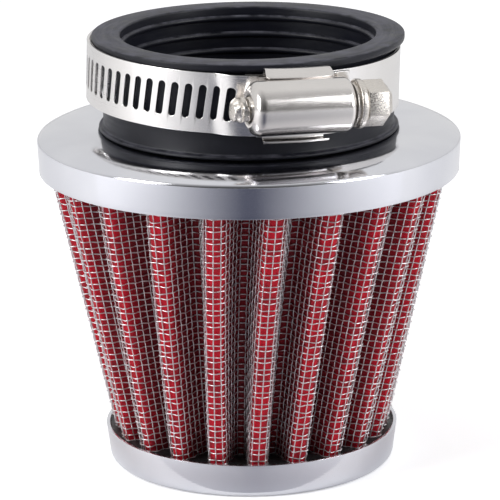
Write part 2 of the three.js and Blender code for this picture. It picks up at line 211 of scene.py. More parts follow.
# %% Light dome
world = bpy.data.worlds.new("studio")
bpy.context.scene.world = world
world.use_nodes = True
dome = world.node_tree
background = dome.nodes["Background"]
direction = add_node(dome, "ShaderNodeTexCoord")
parts = add_node(dome, "ShaderNodeSeparateXYZ")
wire_up(dome, (direction.outputs["Generated"], parts.inputs[0]))
frontness = spread_range(dome, parts.outputs["Y"], -0.95, 0.1, 0.07, 0.78)
height_light = spread_range(dome, parts.outputs["Z"], 0.0, 0.9, 0.95, 1.05)
dome_light = maths(dome, "MULTIPLY", frontness, height_light)
seen_directly = add_node(dome, "ShaderNodeLightPath").outputs["Is Camera Ray"]
strength = maths(dome, "MAXIMUM", dome_light, seen_directly)
background.inputs["Color"].default_value = (1.0, 1.0, 1.0, 1)
wire_up(dome, (strength, background.inputs["Strength"]))


# %% [markdown]
# The table is a plain pale sheet, lifted a little where the camera sees it directly. Two soft boxes
# stand at the sides, the left one a little stronger, and look at the middle of the filter.

# %% Floor and soft boxes
TABLE_SIZE = 6
TABLE_LIFT = 0.35
BOX_SIZE = (0.32, 0.5)
LEFT_BOX_PLACE = Vector((-0.62, -0.34, 0.34))
RIGHT_BOX_PLACE = Vector((0.62, -0.34, 0.34))
FILTER_MIDDLE = Vector((0, 0, 0.04))


def plain_finish(name, colour, roughness):
    return new_material(name, Base_Color=(*colour, 1), Roughness=roughness)


def pale_table():
    bpy.ops.object.select_all(action="DESELECT")
    bpy.ops.mesh.primitive_plane_add(size=TABLE_SIZE, location=(0, 0, bottom_of("bottom_cap")))
    floor = bpy.context.object
    floor.name = "floor"
    pale, tree, shader = plain_finish("pale_table", (0.90, 0.90, 0.91), 0.8)
    shader.inputs["Emission Color"].default_value = (1, 1, 1, 1)
    seen = add_node(tree, "ShaderNodeLightPath").outputs["Is Camera Ray"]
    wire_up(tree, (maths(tree, "MULTIPLY", seen, TABLE_LIFT), shader.inputs["Emission Strength"]))
    floor.data.materials.append(pale)
    floor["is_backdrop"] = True


def soft_box(name, place, power, colour=(1, 1, 1)):
    """A rectangular lamp that looks at the middle of the filter."""
    light = bpy.data.lights.new(name, "AREA")
    light.shape = "RECTANGLE"
    light.size, light.size_y = BOX_SIZE
    light.energy = power
    light.color = colour
    lamp = bpy.data.objects.new(name, light)
    lamp.location = place
    lamp.rotation_euler = (FILTER_MIDDLE - place).to_track_quat("-Z", "Y").to_euler()
    bpy.context.scene.collection.objects.link(lamp)


pale_table()
soft_box("left_box", LEFT_BOX_PLACE, 4.0)
soft_box("right_box", RIGHT_BOX_PLACE, 3.0, (0.97, 0.98, 1.0))

# %% [markdown]
# A grey card lies on the table in front, for reflections only: it throws no shadow and the camera
# looks through it. It is darkest straight ahead, pales towards the sides, and pales again close to
# the filter, so the low cup stays brighter than the high skirt.

# %% Grey card
CARD_SIZE = (1.3, 0.62)
CARD_NEAR_EDGE = 0.0246
CARD_HEIGHT = 0.0002
PALE_FROM = math.radians(78)


def grey_card():
    bpy.ops.object.select_all(action="DESELECT")
    middle = -CARD_NEAR_EDGE - CARD_SIZE[1] / 2
    bpy.ops.mesh.primitive_plane_add(size=1, location=(0, middle, CARD_HEIGHT))
    card = bpy.context.object
    card.name = "grey_card"
    card.scale = (*CARD_SIZE, 1)
    card.visible_camera = False
    card.visible_shadow = False
    card.visible_diffuse = False
    paper, tree, shader = plain_finish("card_paper", (0.1, 0.1, 0.12), 0.9)
    place = add_node(tree, "ShaderNodeNewGeometry").outputs["Position"]
    split = add_node(tree, "ShaderNodeSeparateXYZ")
    wire_up(tree, (place, split.inputs[0]))
    ahead = maths(tree, "MULTIPLY", split.outputs["Y"], -1.0)
    azimuth = maths(tree, "ABSOLUTE", maths(tree, "ARCTAN2", split.outputs["X"], ahead))
    share = spread_range(tree, azimuth, 0.05, PALE_FROM)
    close_by = spread_range(tree, ahead, 0.045, 0.1, 0.9, 0.0)
    shaded = blend_colours(tree, close_by, (0.065, 0.07, 0.105), (0.5, 0.5, 0.54))
    shaded = blend_colours(tree, share, shaded, (0.95, 0.95, 0.97))
    wire_up(tree, (shaded, shader.inputs["Base Color"]))
    card.data.materials.append(paper)
    card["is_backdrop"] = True


grey_card()
print("card in mm:", [round(side / MM) for side in CARD_SIZE])


# %% [markdown]
# ## Effects that several finishes share
# Each is a node group, built once: grain left by turning, rolling or drawing; dust that settles on
# upward faces; wear along edges; and fine speckle. A group gives out masks and values only, and
# each material mixes them as it needs.

# %% Node group helper
def new_group(name, inputs, outputs):
    """An empty node group with named numbers going in and out, and its two ends."""
    group = bpy.data.node_groups.new(name, "ShaderNodeTree")
    for label, value in inputs.items():
        socket = group.interface.new_socket(label, in_out="INPUT", socket_type="NodeSocketFloat")
        socket.default_value = value
    for label in outputs:
        group.interface.new_socket(label, in_out="OUTPUT", socket_type="NodeSocketFloat")
    start = group.nodes.new("NodeGroupInput")
    end = group.nodes.new("NodeGroupOutput")
    return group, start.outputs, end.inputs


def place_group(tree, group, **values):
    made = add_node(tree, "ShaderNodeGroup", node_tree=group)
    for label, value in values.items():
        made.inputs[label.replace("_", " ")].default_value = value
    return made.outputs


# %% [markdown]
# Turned grain runs in circles round the axis, so the noise is stretched along the azimuth: its
# coordinates are the radius and the height, packed close, and the azimuth, spread wide.

# %% Grain round an axis
grain_group, given, result = new_group(
    "grain_round_axis", {"Lines per mm": 6.0, "Along": 1.2, "Patches": 60.0}, ["Lines", "Patches"]
)
place = add_node(grain_group, "ShaderNodeTexCoord").outputs["Object"]
split = add_node(grain_group, "ShaderNodeSeparateXYZ")
wire_up(grain_group, (place, split.inputs[0]))
far_x = maths(grain_group, "MULTIPLY", split.outputs["X"], split.outputs["X"])
far_y = maths(grain_group, "MULTIPLY", split.outputs["Y"], split.outputs["Y"])
far = maths(grain_group, "SQRT", maths(grain_group, "ADD", far_x, far_y))
turn = maths(grain_group, "ARCTAN2", split.outputs["X"], split.outputs["Y"])
close = maths(grain_group, "MULTIPLY", given["Lines per mm"], 1 / MM)
join = add_node(grain_group, "ShaderNodeCombineXYZ")
wire_up(
    grain_group,
    (maths(grain_group, "MULTIPLY", far, close), join.inputs["X"]),
    (maths(grain_group, "MULTIPLY", turn, given["Along"]), join.inputs["Y"]),
    (maths(grain_group, "MULTIPLY", split.outputs["Z"], close), join.inputs["Z"]),
)
lines = add_node(grain_group, "ShaderNodeTexNoise", Scale=1.0, Detail=3.0, Roughness=0.65)
patches = add_node(grain_group, "ShaderNodeTexNoise", Detail=3.0, Roughness=0.5)
wire_up(
    grain_group,
    (join.outputs[0], lines.inputs["Vector"]),
    (place, patches.inputs["Vector"]),
    (given["Patches"], patches.inputs["Scale"]),
    (lines.outputs["Fac"], result["Lines"]),
    (patches.outputs["Fac"], result["Patches"]),
)

# %% [markdown]
# Dust lies where a face looks up, in uneven drifts. Speckle is the fine pitting of a plated or
# pressed surface. Worn edges are found by comparing the true normal with one that is rounded over
# a small distance: they differ only near an edge.

# %% Dust, speckle and worn edges
dust_group, given, result = new_group("dust_on_top", {"Drift scale": 220.0}, ["Dust"])
surface = add_node(dust_group, "ShaderNodeNewGeometry")
upward = add_node(dust_group, "ShaderNodeSeparateXYZ")
drift = add_node(dust_group, "ShaderNodeTexNoise", Detail=6.0, Roughness=0.62)
place = add_node(dust_group, "ShaderNodeTexCoord").outputs["Object"]
wire_up(
    dust_group,
    (surface.outputs["Normal"], upward.inputs[0]),
    (place, drift.inputs["Vector"]),
    (given["Drift scale"], drift.inputs["Scale"]),
)
level_share = spread_range(dust_group, upward.outputs["Z"], 0.25, 0.95)
drift_share = spread_range(dust_group, drift.outputs["Fac"], 0.36, 0.62)
wire_up(dust_group, (maths(dust_group, "MULTIPLY", level_share, drift_share), result["Dust"]))

speckle_group, given, result = new_group(
    "fine_speckle", {"Grains per mm": 5.0, "Low": 0.45, "High": 0.7}, ["Speckle", "Cloud"]
)
place = add_node(speckle_group, "ShaderNodeTexCoord").outputs["Object"]
grains = add_node(speckle_group, "ShaderNodeTexNoise", Detail=4.0, Roughness=0.7)
cloud = add_node(speckle_group, "ShaderNodeTexNoise", Scale=170.0, Detail=3.0)
shaped = add_node(speckle_group, "ShaderNodeMapRange")
wire_up(
    speckle_group,
    (place, grains.inputs["Vector"]),
    (place, cloud.inputs["Vector"]),
    (maths(speckle_group, "MULTIPLY", given["Grains per mm"], 1 / MM), grains.inputs["Scale"]),
    (grains.outputs["Fac"], shaped.inputs["Value"]),
    (given["Low"], shaped.inputs["From Min"]),
    (given["High"], shaped.inputs["From Max"]),
    (shaped.outputs[0], result["Speckle"]),
    (cloud.outputs["Fac"], result["Cloud"]),
)

wear_group, given, result = new_group("worn_edges", {"Width in mm": 0.2, "Gain": 4.0}, ["Wear"])
rounded = add_node(wear_group, "ShaderNodeBevel", samples=4)
surface = add_node(wear_group, "ShaderNodeNewGeometry")
agree = add_node(wear_group, "ShaderNodeVectorMath", operation="DOT_PRODUCT")
wire_up(
    wear_group,
    (maths(wear_group, "MULTIPLY", given["Width in mm"], MM), rounded.inputs["Radius"]),
    (rounded.outputs[0], agree.inputs[0]),
    (surface.outputs["Normal"], agree.inputs[1]),
)
turned_away = maths(wear_group, "SUBTRACT", 1.0, agree.outputs["Value"])
wear = maths(wear_group, "MINIMUM", maths(wear_group, "MULTIPLY", turned_away, given["Gain"]), 1.0)
wire_up(wear_group, (wear, result["Wear"]))
print("shared effects:", [group.name for group in bpy.data.node_groups])


# %% [markdown]
# ## Finishes
# The caps are pressed from sheet, plated and polished on a lathe: nearly a mirror, with very fine
# circular lines, faint cloudy patches, and a duller, paler line where an edge is worn.

# %% Metal finish
def metal(name, colour, shade, roughness, lines_per_mm=6.0, grain=0.05, speckle=0.0, dusty=0.0):
    """A bright metal: grain round the axis, cloudy patches, speckle, and worn edges."""
    material, tree, shader = new_material(name, Metallic=1.0)
    grained = place_group(tree, grain_group, Lines_per_mm=lines_per_mm)
    speckled = place_group(tree, speckle_group)
    worn = place_group(tree, wear_group, Width_in_mm=0.18)
    cloudy = spread_range(tree, grained["Patches"], 0.35, 0.7)
    base = blend_colours(tree, cloudy, colour, shade)
    base = blend_colours(tree, maths(tree, "MULTIPLY", worn["Wear"], 0.5), base, (0.93, 0.93, 0.94))
    dots = maths(tree, "MULTIPLY", speckled["Speckle"], speckle)
    base = blend_colours(tree, dots, base, tuple(0.62 * c for c in colour))
    if dusty:
        dust = place_group(tree, dust_group, Drift_scale=260.0)
        base = blend_colours(tree, maths(tree, "MULTIPLY", dust["Dust"], dusty), base, (0.7, 0.7, 0.72))
    rough = spread_range(tree, grained["Lines"], 0.3, 0.7, roughness * 0.7, roughness * 1.35)
    rough = maths(tree, "ADD", rough, maths(tree, "MULTIPLY", cloudy, roughness * 0.5))
    rough = maths(tree, "ADD", rough, maths(tree, "MULTIPLY", dots, 0.3))
    rough = maths(tree, "ADD", rough, maths(tree, "MULTIPLY", worn["Wear"], 0.12))
    height = maths(tree, "ADD", grained["Lines"], maths(tree, "MULTIPLY", dots, -2.0))
    bump = add_node(tree, "ShaderNodeBump", Strength=grain, Distance=0.02 * MM)
    wire_up(
        tree,
        (base, shader.inputs["Base Color"]),
        (rough, shader.inputs["Roughness"]),
        (height, bump.inputs["Height"]),
        (bump.outputs[0], shader.inputs["Normal"]),
    )
    return material


cap_metal = metal("polished_cap", (0.80, 0.805, 0.845), (0.71, 0.715, 0.765), 0.09, 5.0, 0.3)
strap_metal = metal("rolled_strap", (0.84, 0.82, 0.80), (0.76, 0.74, 0.73), 0.17, 9.0, 0.35)
housing_metal = metal("pressed_housing", (0.80, 0.77, 0.745), (0.72, 0.69, 0.67), 0.15, 9.0, 0.3, 0.12)
screw_metal = metal("plated_screw", (0.78, 0.74, 0.69), (0.66, 0.61, 0.56), 0.2, 4.0, 0.5, 0.55)
wire_metal = metal("galvanised_wire", (0.95, 0.95, 0.96), (0.84, 0.84, 0.86), 0.26, 3.0, 0.5, 0.35)
print("metals:", [m.name for m in bpy.data.materials])

# %% [markdown]
# The neck is moulded rubber: blue-black, satin, with the faint orange-peel of its mould, mould
# bloom in soft patches and dust on its upward faces, most of all on the top of the lip.


# %% Rubber finish
def rubber_finish():
    material, tree, shader = new_material("moulded_rubber", Specular_IOR_Level=0.27)
    dust = place_group(tree, dust_group, Drift_scale=420.0)
    speckled = place_group(tree, speckle_group, Grains_per_mm=3.5)
    grained = place_group(tree, grain_group, Lines_per_mm=1.2, Along=3.0, Patches=90.0)
    bloom = spread_range(tree, grained["Patches"], 0.4, 0.75)
    base = blend_colours(tree, bloom, (0.006, 0.0065, 0.011), (0.012, 0.013, 0.02))
    dusty = maths(tree, "MULTIPLY", dust["Dust"], 0.8)
    base = blend_colours(tree, dusty, base, (0.11, 0.11, 0.135))
    rough = spread_range(tree, grained["Lines"], 0.3, 0.7, 0.3, 0.5)
    rough = maths(tree, "ADD", rough, maths(tree, "MULTIPLY", dusty, 0.3))
    height = maths(tree, "ADD", speckled["Speckle"], maths(tree, "MULTIPLY", grained["Lines"], 0.6))
    bump = add_node(tree, "ShaderNodeBump", Strength=0.25, Distance=0.03 * MM)
    wire_up(
        tree,
        (base, shader.inputs["Base Color"]),
        (rough, shader.inputs["Roughness"]),
        (height, bump.inputs["Height"]),
        (bump.outputs[0], shader.inputs["Normal"]),
    )
    return material


rubber = rubber_finish()
print("rubber uses", len(rubber.node_tree.nodes), "nodes")

# %% [markdown]
# The potting is a black cast compound with soft lumps and faintly uneven colour.


# %% Potting finish
def potting_finish():
    material, tree, shader = new_material("cast_potting", Specular_IOR_Level=0.5)
    speckled = place_group(tree, speckle_group, Grains_per_mm=1.4, Low=0.35, High=0.75)
    base = blend_colours(tree, speckled["Cloud"], (0.008, 0.008, 0.009), (0.022, 0.021, 0.022))
    rough = spread_range(tree, speckled["Speckle"], 0.0, 1.0, 0.32, 0.6)
    bump = add_node(tree, "ShaderNodeBump", Strength=0.5, Distance=0.12 * MM)
    wire_up(
        tree,
        (base, shader.inputs["Base Color"]),
        (rough, shader.inputs["Roughness"]),
        (speckled["Speckle"], bump.inputs["Height"]),
        (bump.outputs[0], shader.inputs["Normal"]),
    )
    return material


potting = potting_finish()
print("potting uses", len(potting.node_tree.nodes), "nodes")

# %% [markdown]
# The medium is red cotton, several plies thick and wetted with red oil. Its weave follows the cloth,
# so the threads are drawn in the sheet's own flat coordinates: two sets of waves at right angles.
# Oil gathers in blotches, which are darker and a little shinier.
# The flanks and valleys of every pleat are also painted darker: painted shade in the folds.

# %% Cotton finish
CLOTH_THREADS_PER_MM = 2.2


def cotton_finish(width, length):
    """Woven oiled cotton on a cloth of a known flat size, in metres."""
    material, tree, shader = new_material("oiled_cotton", Specular_IOR_Level=0.25, Sheen_Weight=0.06)
    sheet = add_node(tree, "ShaderNodeUVMap", uv_map="UVMap")
    flat = add_node(tree, "ShaderNodeVectorMath", operation="MULTIPLY")
    threads = CLOTH_THREADS_PER_MM / MM
    flat.inputs[1].default_value = (width * threads, length * threads, 1)
    wire_up(tree, (sheet.outputs[0], flat.inputs[0]))
    ends = add_node(tree, "ShaderNodeSeparateXYZ")
    wire_up(tree, (sheet.outputs[0], ends.inputs[0]))
    sheet_across = ends.outputs["X"]
    split = add_node(tree, "ShaderNodeSeparateXYZ")
    wire_up(tree, (flat.outputs[0], split.inputs[0]))
    across = maths(tree, "SINE", maths(tree, "MULTIPLY", split.outputs["X"], FULL_TURN))
    along = maths(tree, "SINE", maths(tree, "MULTIPLY", split.outputs["Y"], FULL_TURN))
    weave = maths(tree, "MULTIPLY", across, along)
    blotch = add_node(tree, "ShaderNodeTexNoise", Scale=330.0, Detail=4.0, Roughness=0.6)
    fluff = add_node(tree, "ShaderNodeTexNoise", Scale=2600.0, Detail=3.0, Roughness=0.7)
    place = add_node(tree, "ShaderNodeTexCoord").outputs["Object"]
    wire_up(tree, (place, blotch.inputs["Vector"]), (place, fluff.inputs["Vector"]))
    # painted shade: the farther a point lies from its pleat's ridge, the darker it is painted
    pleat_share = maths(tree, "FRACT", maths(tree, "MULTIPLY", sheet_across, float(PLEATS)))
    from_ridge = maths(tree, "ABSOLUTE", maths(tree, "SUBTRACT", pleat_share, 0.5))
    inside = spread_range(tree, from_ridge, 0.08, 0.26)
    oiled = spread_range(tree, blotch.outputs["Fac"], 0.42, 0.68)
    base = blend_colours(tree, oiled, (0.49, 0.003, 0.018), (0.21, 0.002, 0.01))
    thread_shade = spread_range(tree, weave, -1.0, 1.0, 0.0, 0.35)
    base = blend_colours(tree, thread_shade, base, (0.70, 0.02, 0.04))
    fluffy = spread_range(tree, fluff.outputs["Fac"], 0.5, 0.75, 0.0, 0.4)
    base = blend_colours(tree, fluffy, base, (0.16, 0.002, 0.01))
    # painted shade in the folds: a dark maroon laid over the flanks and valleys
    painted_fold_shade = maths(tree, "MULTIPLY", inside, 0.76)
    base = blend_colours(tree, painted_fold_shade, base, (0.075, 0.004, 0.008))
    rough = spread_range(tree, oiled, 0.0, 1.0, 0.85, 0.5)
    height = maths(tree, "ADD", weave, fluff.outputs["Fac"])
    bump = add_node(tree, "ShaderNodeBump", Strength=0.6, Distance=0.06 * MM)
    wire_up(
        tree,
        (base, shader.inputs["Base Color"]),
        (rough, shader.inputs["Roughness"]),
        (height, bump.inputs["Height"]),
        (bump.outputs[0], shader.inputs["Normal"]),
    )
    return material


# %% [markdown]
# ## Working by hand
# A turned piece starts as one point that is extruded from corner to corner into half a section,
# which Spin then carries round the axis.

# %% Drawing and turning
FINE_STEPS = 128
MERGE_WITHIN = 0.002 * MM


def only(piece):
    """Makes one object the only selected and active one."""
    bpy.ops.object.select_all(action="DESELECT")
    piece.select_set(True)
    bpy.context.view_layer.objects.active = piece
    return piece


def edit(piece, select="SELECT"):
    only(piece)
    bpy.ops.object.mode_set(mode="EDIT")
    bpy.ops.mesh.select_mode(type="VERT")
    bpy.ops.mesh.select_all(action=select)


def leave_edit():
    bpy.ops.object.mode_set(mode="OBJECT")


def draw_outline(name, points):
    """Extrudes one point from corner to corner of a half section: [radius, height] pairs."""
    bpy.ops.object.select_all(action="DESELECT")
    bpy.ops.mesh.primitive_plane_add(size=MM, location=(0, 0, 0))
    piece = bpy.context.object
    piece.name = name
    edit(piece)
    bpy.ops.mesh.merge(type="CENTER")
    bpy.ops.transform.translate(value=(points[0][0], 0, points[0][1]))
    for before, after in zip(points, points[1:]):
        step = (after[0] - before[0], 0, after[1] - before[1])
        bpy.ops.mesh.extrude_vertices_move(TRANSFORM_OT_translate={"value": step})
    leave_edit()
    return piece


def tidy_mesh(piece, nearest=MERGE_WITHIN):
    """Merges doubles and turns the faces outwards."""
    edit(piece)
    bpy.ops.mesh.remove_doubles(threshold=nearest)
    bpy.ops.mesh.normals_make_consistent(inside=False)
    leave_edit()
    return piece


def spin_outline(piece, steps=FINE_STEPS, angle=FULL_TURN, axis=(0, 0, 1)):
    edit(piece)
    bpy.ops.mesh.spin(steps=steps, angle=angle, center=(0, 0, 0), axis=axis)
    leave_edit()
    return tidy_mesh(piece)


def turn_piece(name, points, steps=FINE_STEPS, axis=(0, 0, 1)):
    """A turned piece from a half section; the section is closed here if it doesn't touch the axis."""
    on_axis = abs(points[0][0]) < 1e-9 and abs(points[-1][0]) < 1e-9
    closed = points if on_axis else [*points, points[0]]
    return spin_outline(draw_outline(name, closed), steps, axis=axis)


def arc(centre, radius, start, end, steps=8):
    """Points of a round stretch of a section, from one angle to another in degrees."""
    angles = [math.radians(start + (end - start) * i / steps) for i in range(steps + 1)]
    return [(centre[0] + radius * math.cos(a), centre[1] + radius * math.sin(a)) for a in angles]


# %% [markdown]
# The other steps that most pieces need: a modifier that is applied at once, edges eased, smooth
# shading, a rule that moves every vertex, and random waves for what was cast, cut or hammered. The last
# helper gives a piece its finish, hangs it on the body that it rides on, and hides the nodes that it
# stands for.

# %% Shaping and finishing
def apply_modifier(piece, kind, **settings):
    """Adds a modifier, sets it and applies it."""
    only(piece)
    modifier = piece.modifiers.new(kind.title(), kind)
    for name, value in settings.items():
        setattr(modifier, name, value)
    bpy.ops.object.modifier_apply(modifier=modifier.name)
    return piece


def soften_edges(piece, width, segments=2, angle=35):
    """Rounds every edge that is sharper than an angle."""
    return apply_modifier(
        piece,
        "BEVEL",
        width=width,
        segments=segments,
        limit_method="ANGLE",
        angle_limit=math.radians(angle),
    )


def smooth(piece, angle=35):
    only(piece)
    bpy.ops.object.shade_smooth_by_angle(angle=math.radians(angle))
    return piece


def move_into(piece, matrix):
    """Moves a piece from its own bench frame to its place, and leaves its object at the origin."""
    piece.data.transform(piece.matrix_basis)
    piece.matrix_basis = Matrix.Identity(4)
    piece.data.transform(matrix)
    return piece


def reshape(piece, rule):
    """Moves every vertex as a rule says."""
    for vertex in piece.data.vertices:
        vertex.co = rule(vertex.co)
    piece.data.update()
    return piece


def waves(co, *layers):
    """Random waves laid over each other: each layer is a scale per metre and a height."""
    return sum(noise.noise(co * scale) * height for scale, height in layers)


def join_pieces(name, pieces):
    bpy.ops.object.select_all(action="DESELECT")
    for piece in pieces:
        piece.select_set(True)
    bpy.context.view_layer.objects.active = pieces[0]
    bpy.ops.object.join()
    pieces[0].name = name
    return pieces[0]


def finish_piece(piece, body, material, slot, *nodes):
    """Gives a piece its finish and body, hides the nodes that it stands for, and reports it. The slot
    is not used.
    """
    piece.data.materials.clear()
    piece.data.materials.append(material)
    piece.data.name = piece.name
    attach(piece, body)
    if nodes:
        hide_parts(*nodes)
    triangles = sum(len(face.vertices) - 2 for face in piece.data.polygons)
    print(piece.name, triangles, "triangles")
    return piece


# %% [markdown]
# ## Rubber neck
# One moulding: a bore with three sealing ribs, a flat lip, the seat for the clamp, a low bead that
# lies on the cap, a groove that the cap's edge sits in, and a flange inside. The section is drawn
# once, with small arcs where the mould is round, and spun.

# %% Neck
RIM = top_of("rubber_neck")
CAP_TOP = top_of("top_cap")
INLET_R = 21 * MM
NECK_R = 24 * MM
LIP_R = 25.7 * MM
LIP_HEIGHT = 1.3 * MM
BEAD_R = 24.75 * MM
BEAD_HEIGHT = 0.6 * MM
GROOVE_R = 23.9 * MM
FLANGE_R = radius_of("rubber_neck")
SHEET = 0.6 * MM
BEAD_LIFT = 0.02 * MM
FLANGE_PLAY = 0.05 * MM
NECK_EDGE = 0.35 * MM
LIP_UNDER_ROUND = 0.55 * MM
LIP_TOP_ROUND = 0.25 * MM
RIB_HEIGHT = 0.6 * MM
RIB_BURIED = 0.1 * MM
RIB_PITCH = 2.8 * MM
FIRST_RIB = 1.9 * MM
RIB_COUNT = 3


def neck_section():
    edge = NECK_EDGE
    flange_top = CAP_TOP - SHEET - FLANGE_PLAY
    flange_low = bottom_of("rubber_neck")
    bead = BEAD_HEIGHT / 2
    bead_middle = CAP_TOP + BEAD_LIFT + bead
    lip_low = RIM - LIP_HEIGHT
    points = [(INLET_R, flange_low), (FLANGE_R, flange_low), (FLANGE_R, flange_top)]
    points += [(GROOVE_R, flange_top), (GROOVE_R, bead_middle - bead)]
    points += arc((BEAD_R - bead, bead_middle), bead, -90, 90, 8)
    points += arc((NECK_R + edge, bead_middle + bead + edge), edge, 270, 180, 4)
    points += arc((NECK_R + edge, lip_low - edge), edge, 180, 90, 3)
    under, over = LIP_UNDER_ROUND, LIP_TOP_ROUND
    points += arc((LIP_R - under, lip_low + under), under, -90, 0, 5)
    points += arc((LIP_R - over, RIM - over), over, 0, 90, 3)
    points += arc((INLET_R + edge, RIM - edge), edge, 90, 180, 4)
    for rib in range(RIB_COUNT):
        crest = RIM - FIRST_RIB - rib * RIB_PITCH
        points += arc((INLET_R - RIB_BURIED, crest), RIB_HEIGHT - RIB_BURIED, 80, 280, 8)
    return points


neck = turn_piece("neck", neck_section(), 160)
smooth(neck, 40)
finish_piece(neck, "filter", rubber, "rubber", "rubber_neck")

# %% [markdown]
# ## Caps
# Both caps are pressed from one thickness of sheet, so each section is closed: out along the
# outside, and back along the inside. The top cap is flat round the neck, falls away in three soft
# stages towards its edge, and turns a tight corner into the skirt. The raw edge is trimmed nearly
# square, which the Bevel modifier eases.

# %% Top cap
CAP_R = radius_of("top_cap")
CAP_BOTTOM = bottom_of("top_cap")
CAP_SKIRT_TAPER = 0.2 * MM
CAP_HOLE_R = 24.1 * MM
CAP_FLAT_R = 29.3 * MM
CAP_CORNER = 0.68 * MM
CAP_STAGES = ((13, 32.2 * MM), (25, 33.95 * MM))
CAP_EDGE_TILT = 28
CAP_STAGE_STEPS = 6
CAP_RIM_STRAIGHT = 0.9 * MM
PRESSED_EDGE = 0.12 * MM


def cap_section():
    """Each stage is an arc that starts at the last one's tilt and ends at its own."""
    top, tilt = [(CAP_FLAT_R, CAP_TOP)], 0.0
    corner_from = CAP_R - CAP_CORNER * (1 - math.sin(math.radians(CAP_EDGE_TILT)))
    for next_tilt, reach in (*CAP_STAGES, (CAP_EDGE_TILT, corner_from)):
        width = (reach - top[-1][0]) / CAP_STAGE_STEPS
        for step in range(CAP_STAGE_STEPS):
            slope = math.radians(tilt + (next_tilt - tilt) * (step + 0.5) / CAP_STAGE_STEPS)
            top.append((top[-1][0] + width, top[-1][1] - width * math.tan(slope)))
        tilt = next_tilt
    corner_height = top[-1][1] - CAP_CORNER * math.cos(math.radians(CAP_EDGE_TILT))
    rim_r = CAP_R - CAP_SKIRT_TAPER
    inside = [(r, z - SHEET) for r, z in reversed(top) if r < CAP_R - CAP_CORNER - SHEET]
    points = [(CAP_HOLE_R, CAP_TOP - SHEET), (CAP_HOLE_R, CAP_TOP), *top]
    points += arc((CAP_R - CAP_CORNER, corner_height), CAP_CORNER, 90 - CAP_EDGE_TILT, 0, 8)[1:]
    points += [(rim_r, CAP_BOTTOM + CAP_RIM_STRAIGHT), (rim_r, CAP_BOTTOM)]
    points += [(rim_r - SHEET, CAP_BOTTOM), (CAP_R - SHEET, corner_height), *inside]
    return points


top_cap = turn_piece("cap_top", cap_section(), 256)
soften_edges(top_cap, PRESSED_EDGE, 2, 60)
smooth(top_cap, 40)
finish_piece(top_cap, "filter", cap_metal, "cap_steel", "top_cap")

# %% [markdown]
# The cup under the pack is pressed in the same way. Its wall leans out a little, its base has a
# round corner, and a shallow dent in the middle lets it stand on a ring instead of rocking.

# %% Bottom cup
CUP_RIM_R = radius_of("bottom_cap")
CUP_TOP = top_of("bottom_cap")
CUP_BASE_R = 24 * MM
CUP_CORNER = 1.3 * MM
STAND_R = 20.4 * MM
DENT_R = 19.5 * MM
DENT = 0.35 * MM


def cup_section():
    corner = (CUP_BASE_R - CUP_CORNER, CUP_CORNER)
    points = [(0, DENT), (DENT_R, DENT), (STAND_R, 0)]
    points += arc(corner, CUP_CORNER, -90, 0, 10)
    points += [(CUP_RIM_R, CUP_TOP), (CUP_RIM_R - SHEET, CUP_TOP)]
    points += arc(corner, CUP_CORNER - SHEET, 0, -90, 6)
    points += [(STAND_R, SHEET), (DENT_R, DENT + SHEET), (0, DENT + SHEET)]
    return points


cup = turn_piece("cap_bottom", cup_section(), 160)
soften_edges(cup, PRESSED_EDGE, 2, 50)
smooth(cup, 30)
finish_piece(cup, "filter", cap_metal, "cap_steel", "bottom_cap")

# %% [markdown]
# ## The pleated pack
# Medium and screens are folded together, so all three follow one pleated line. At a given height
# each pleat is a line through six corners, from one valley's middle over the ridge to the next. The
# pack is a cone, its pleats twist a few degrees on their way down, and they are pushed together at
# one side and apart at the other.

# %% Where the folds are
PACK_LOW = bottom_of("filter_media")
PACK_HIGH = top_of("filter_media")
PACK_TOP_R = 33.4 * MM
PACK_SLOPE = 0.2253
PLEATS = 21
FIRST_RIDGE = 4.7
TWIST = 5.2
UNEVENNESS = 3.0
PUSHED_MOST_AT = 15.0


def fold_azimuth(fold, height):
    even = FIRST_RIDGE + fold * 360 / PLEATS
    uneven = UNEVENNESS * math.cos(math.radians(even - PUSHED_MOST_AT))
    return even + uneven - TWIST * (PACK_HIGH - height) / (PACK_HIGH - PACK_LOW)


def pleat_corner(fold, across, depth, height):
    """A point of the section at a height: across is measured from the middle of a fold."""
    radius = PACK_TOP_R - PACK_SLOPE * (PACK_HIGH - height) - depth
    azimuth = math.radians(fold_azimuth(fold, height)) + across / radius
    return np.array((radius * math.sin(azimuth), -radius * math.cos(azimuth)))


ridges = [fold_azimuth(pleat, PACK_HIGH) for pleat in range(PLEATS)]
gaps = np.diff(ridges)
print(PLEATS, "pleats, from", round(gaps.min(), 1), "to", round(gaps.max(), 1), "degrees apart")

# %% [markdown]
# The corners are rounded, and the line is measured along its length, so that threads and wires keep
# their spacing round the folds. The same line serves every layer: a layer deeper in the pack has
# narrower ridges and wider valleys.

# %% The pleated line
PLEAT_DEPTH = 6 * MM
RIDGE_HALF = 1.6 * MM
VALLEY_HALF = 0.5 * MM
FOLD_SPREAD = 0.76
RIDGE_ROUND = 0.95 * MM
VALLEY_ROUND = 0.5 * MM
ROUND_SHARE = 0.48
NORMAL_REACH = 0.2 * MM
CLOTH_MIDDLE = 0.8 * MM


def round_corner(before, corner, after, size, steps=6):
    """Replaces a corner by a smooth curve that starts and ends a short way from it."""
    start = corner + (before - corner) * min(size / np.linalg.norm(before - corner), ROUND_SHARE)
    end = corner + (after - corner) * min(size / np.linalg.norm(after - corner), ROUND_SHARE)
    shares = np.linspace(0, 1, steps)[:, None]
    return (1 - shares) ** 2 * start + 2 * shares * (1 - shares) * corner + shares**2 * end


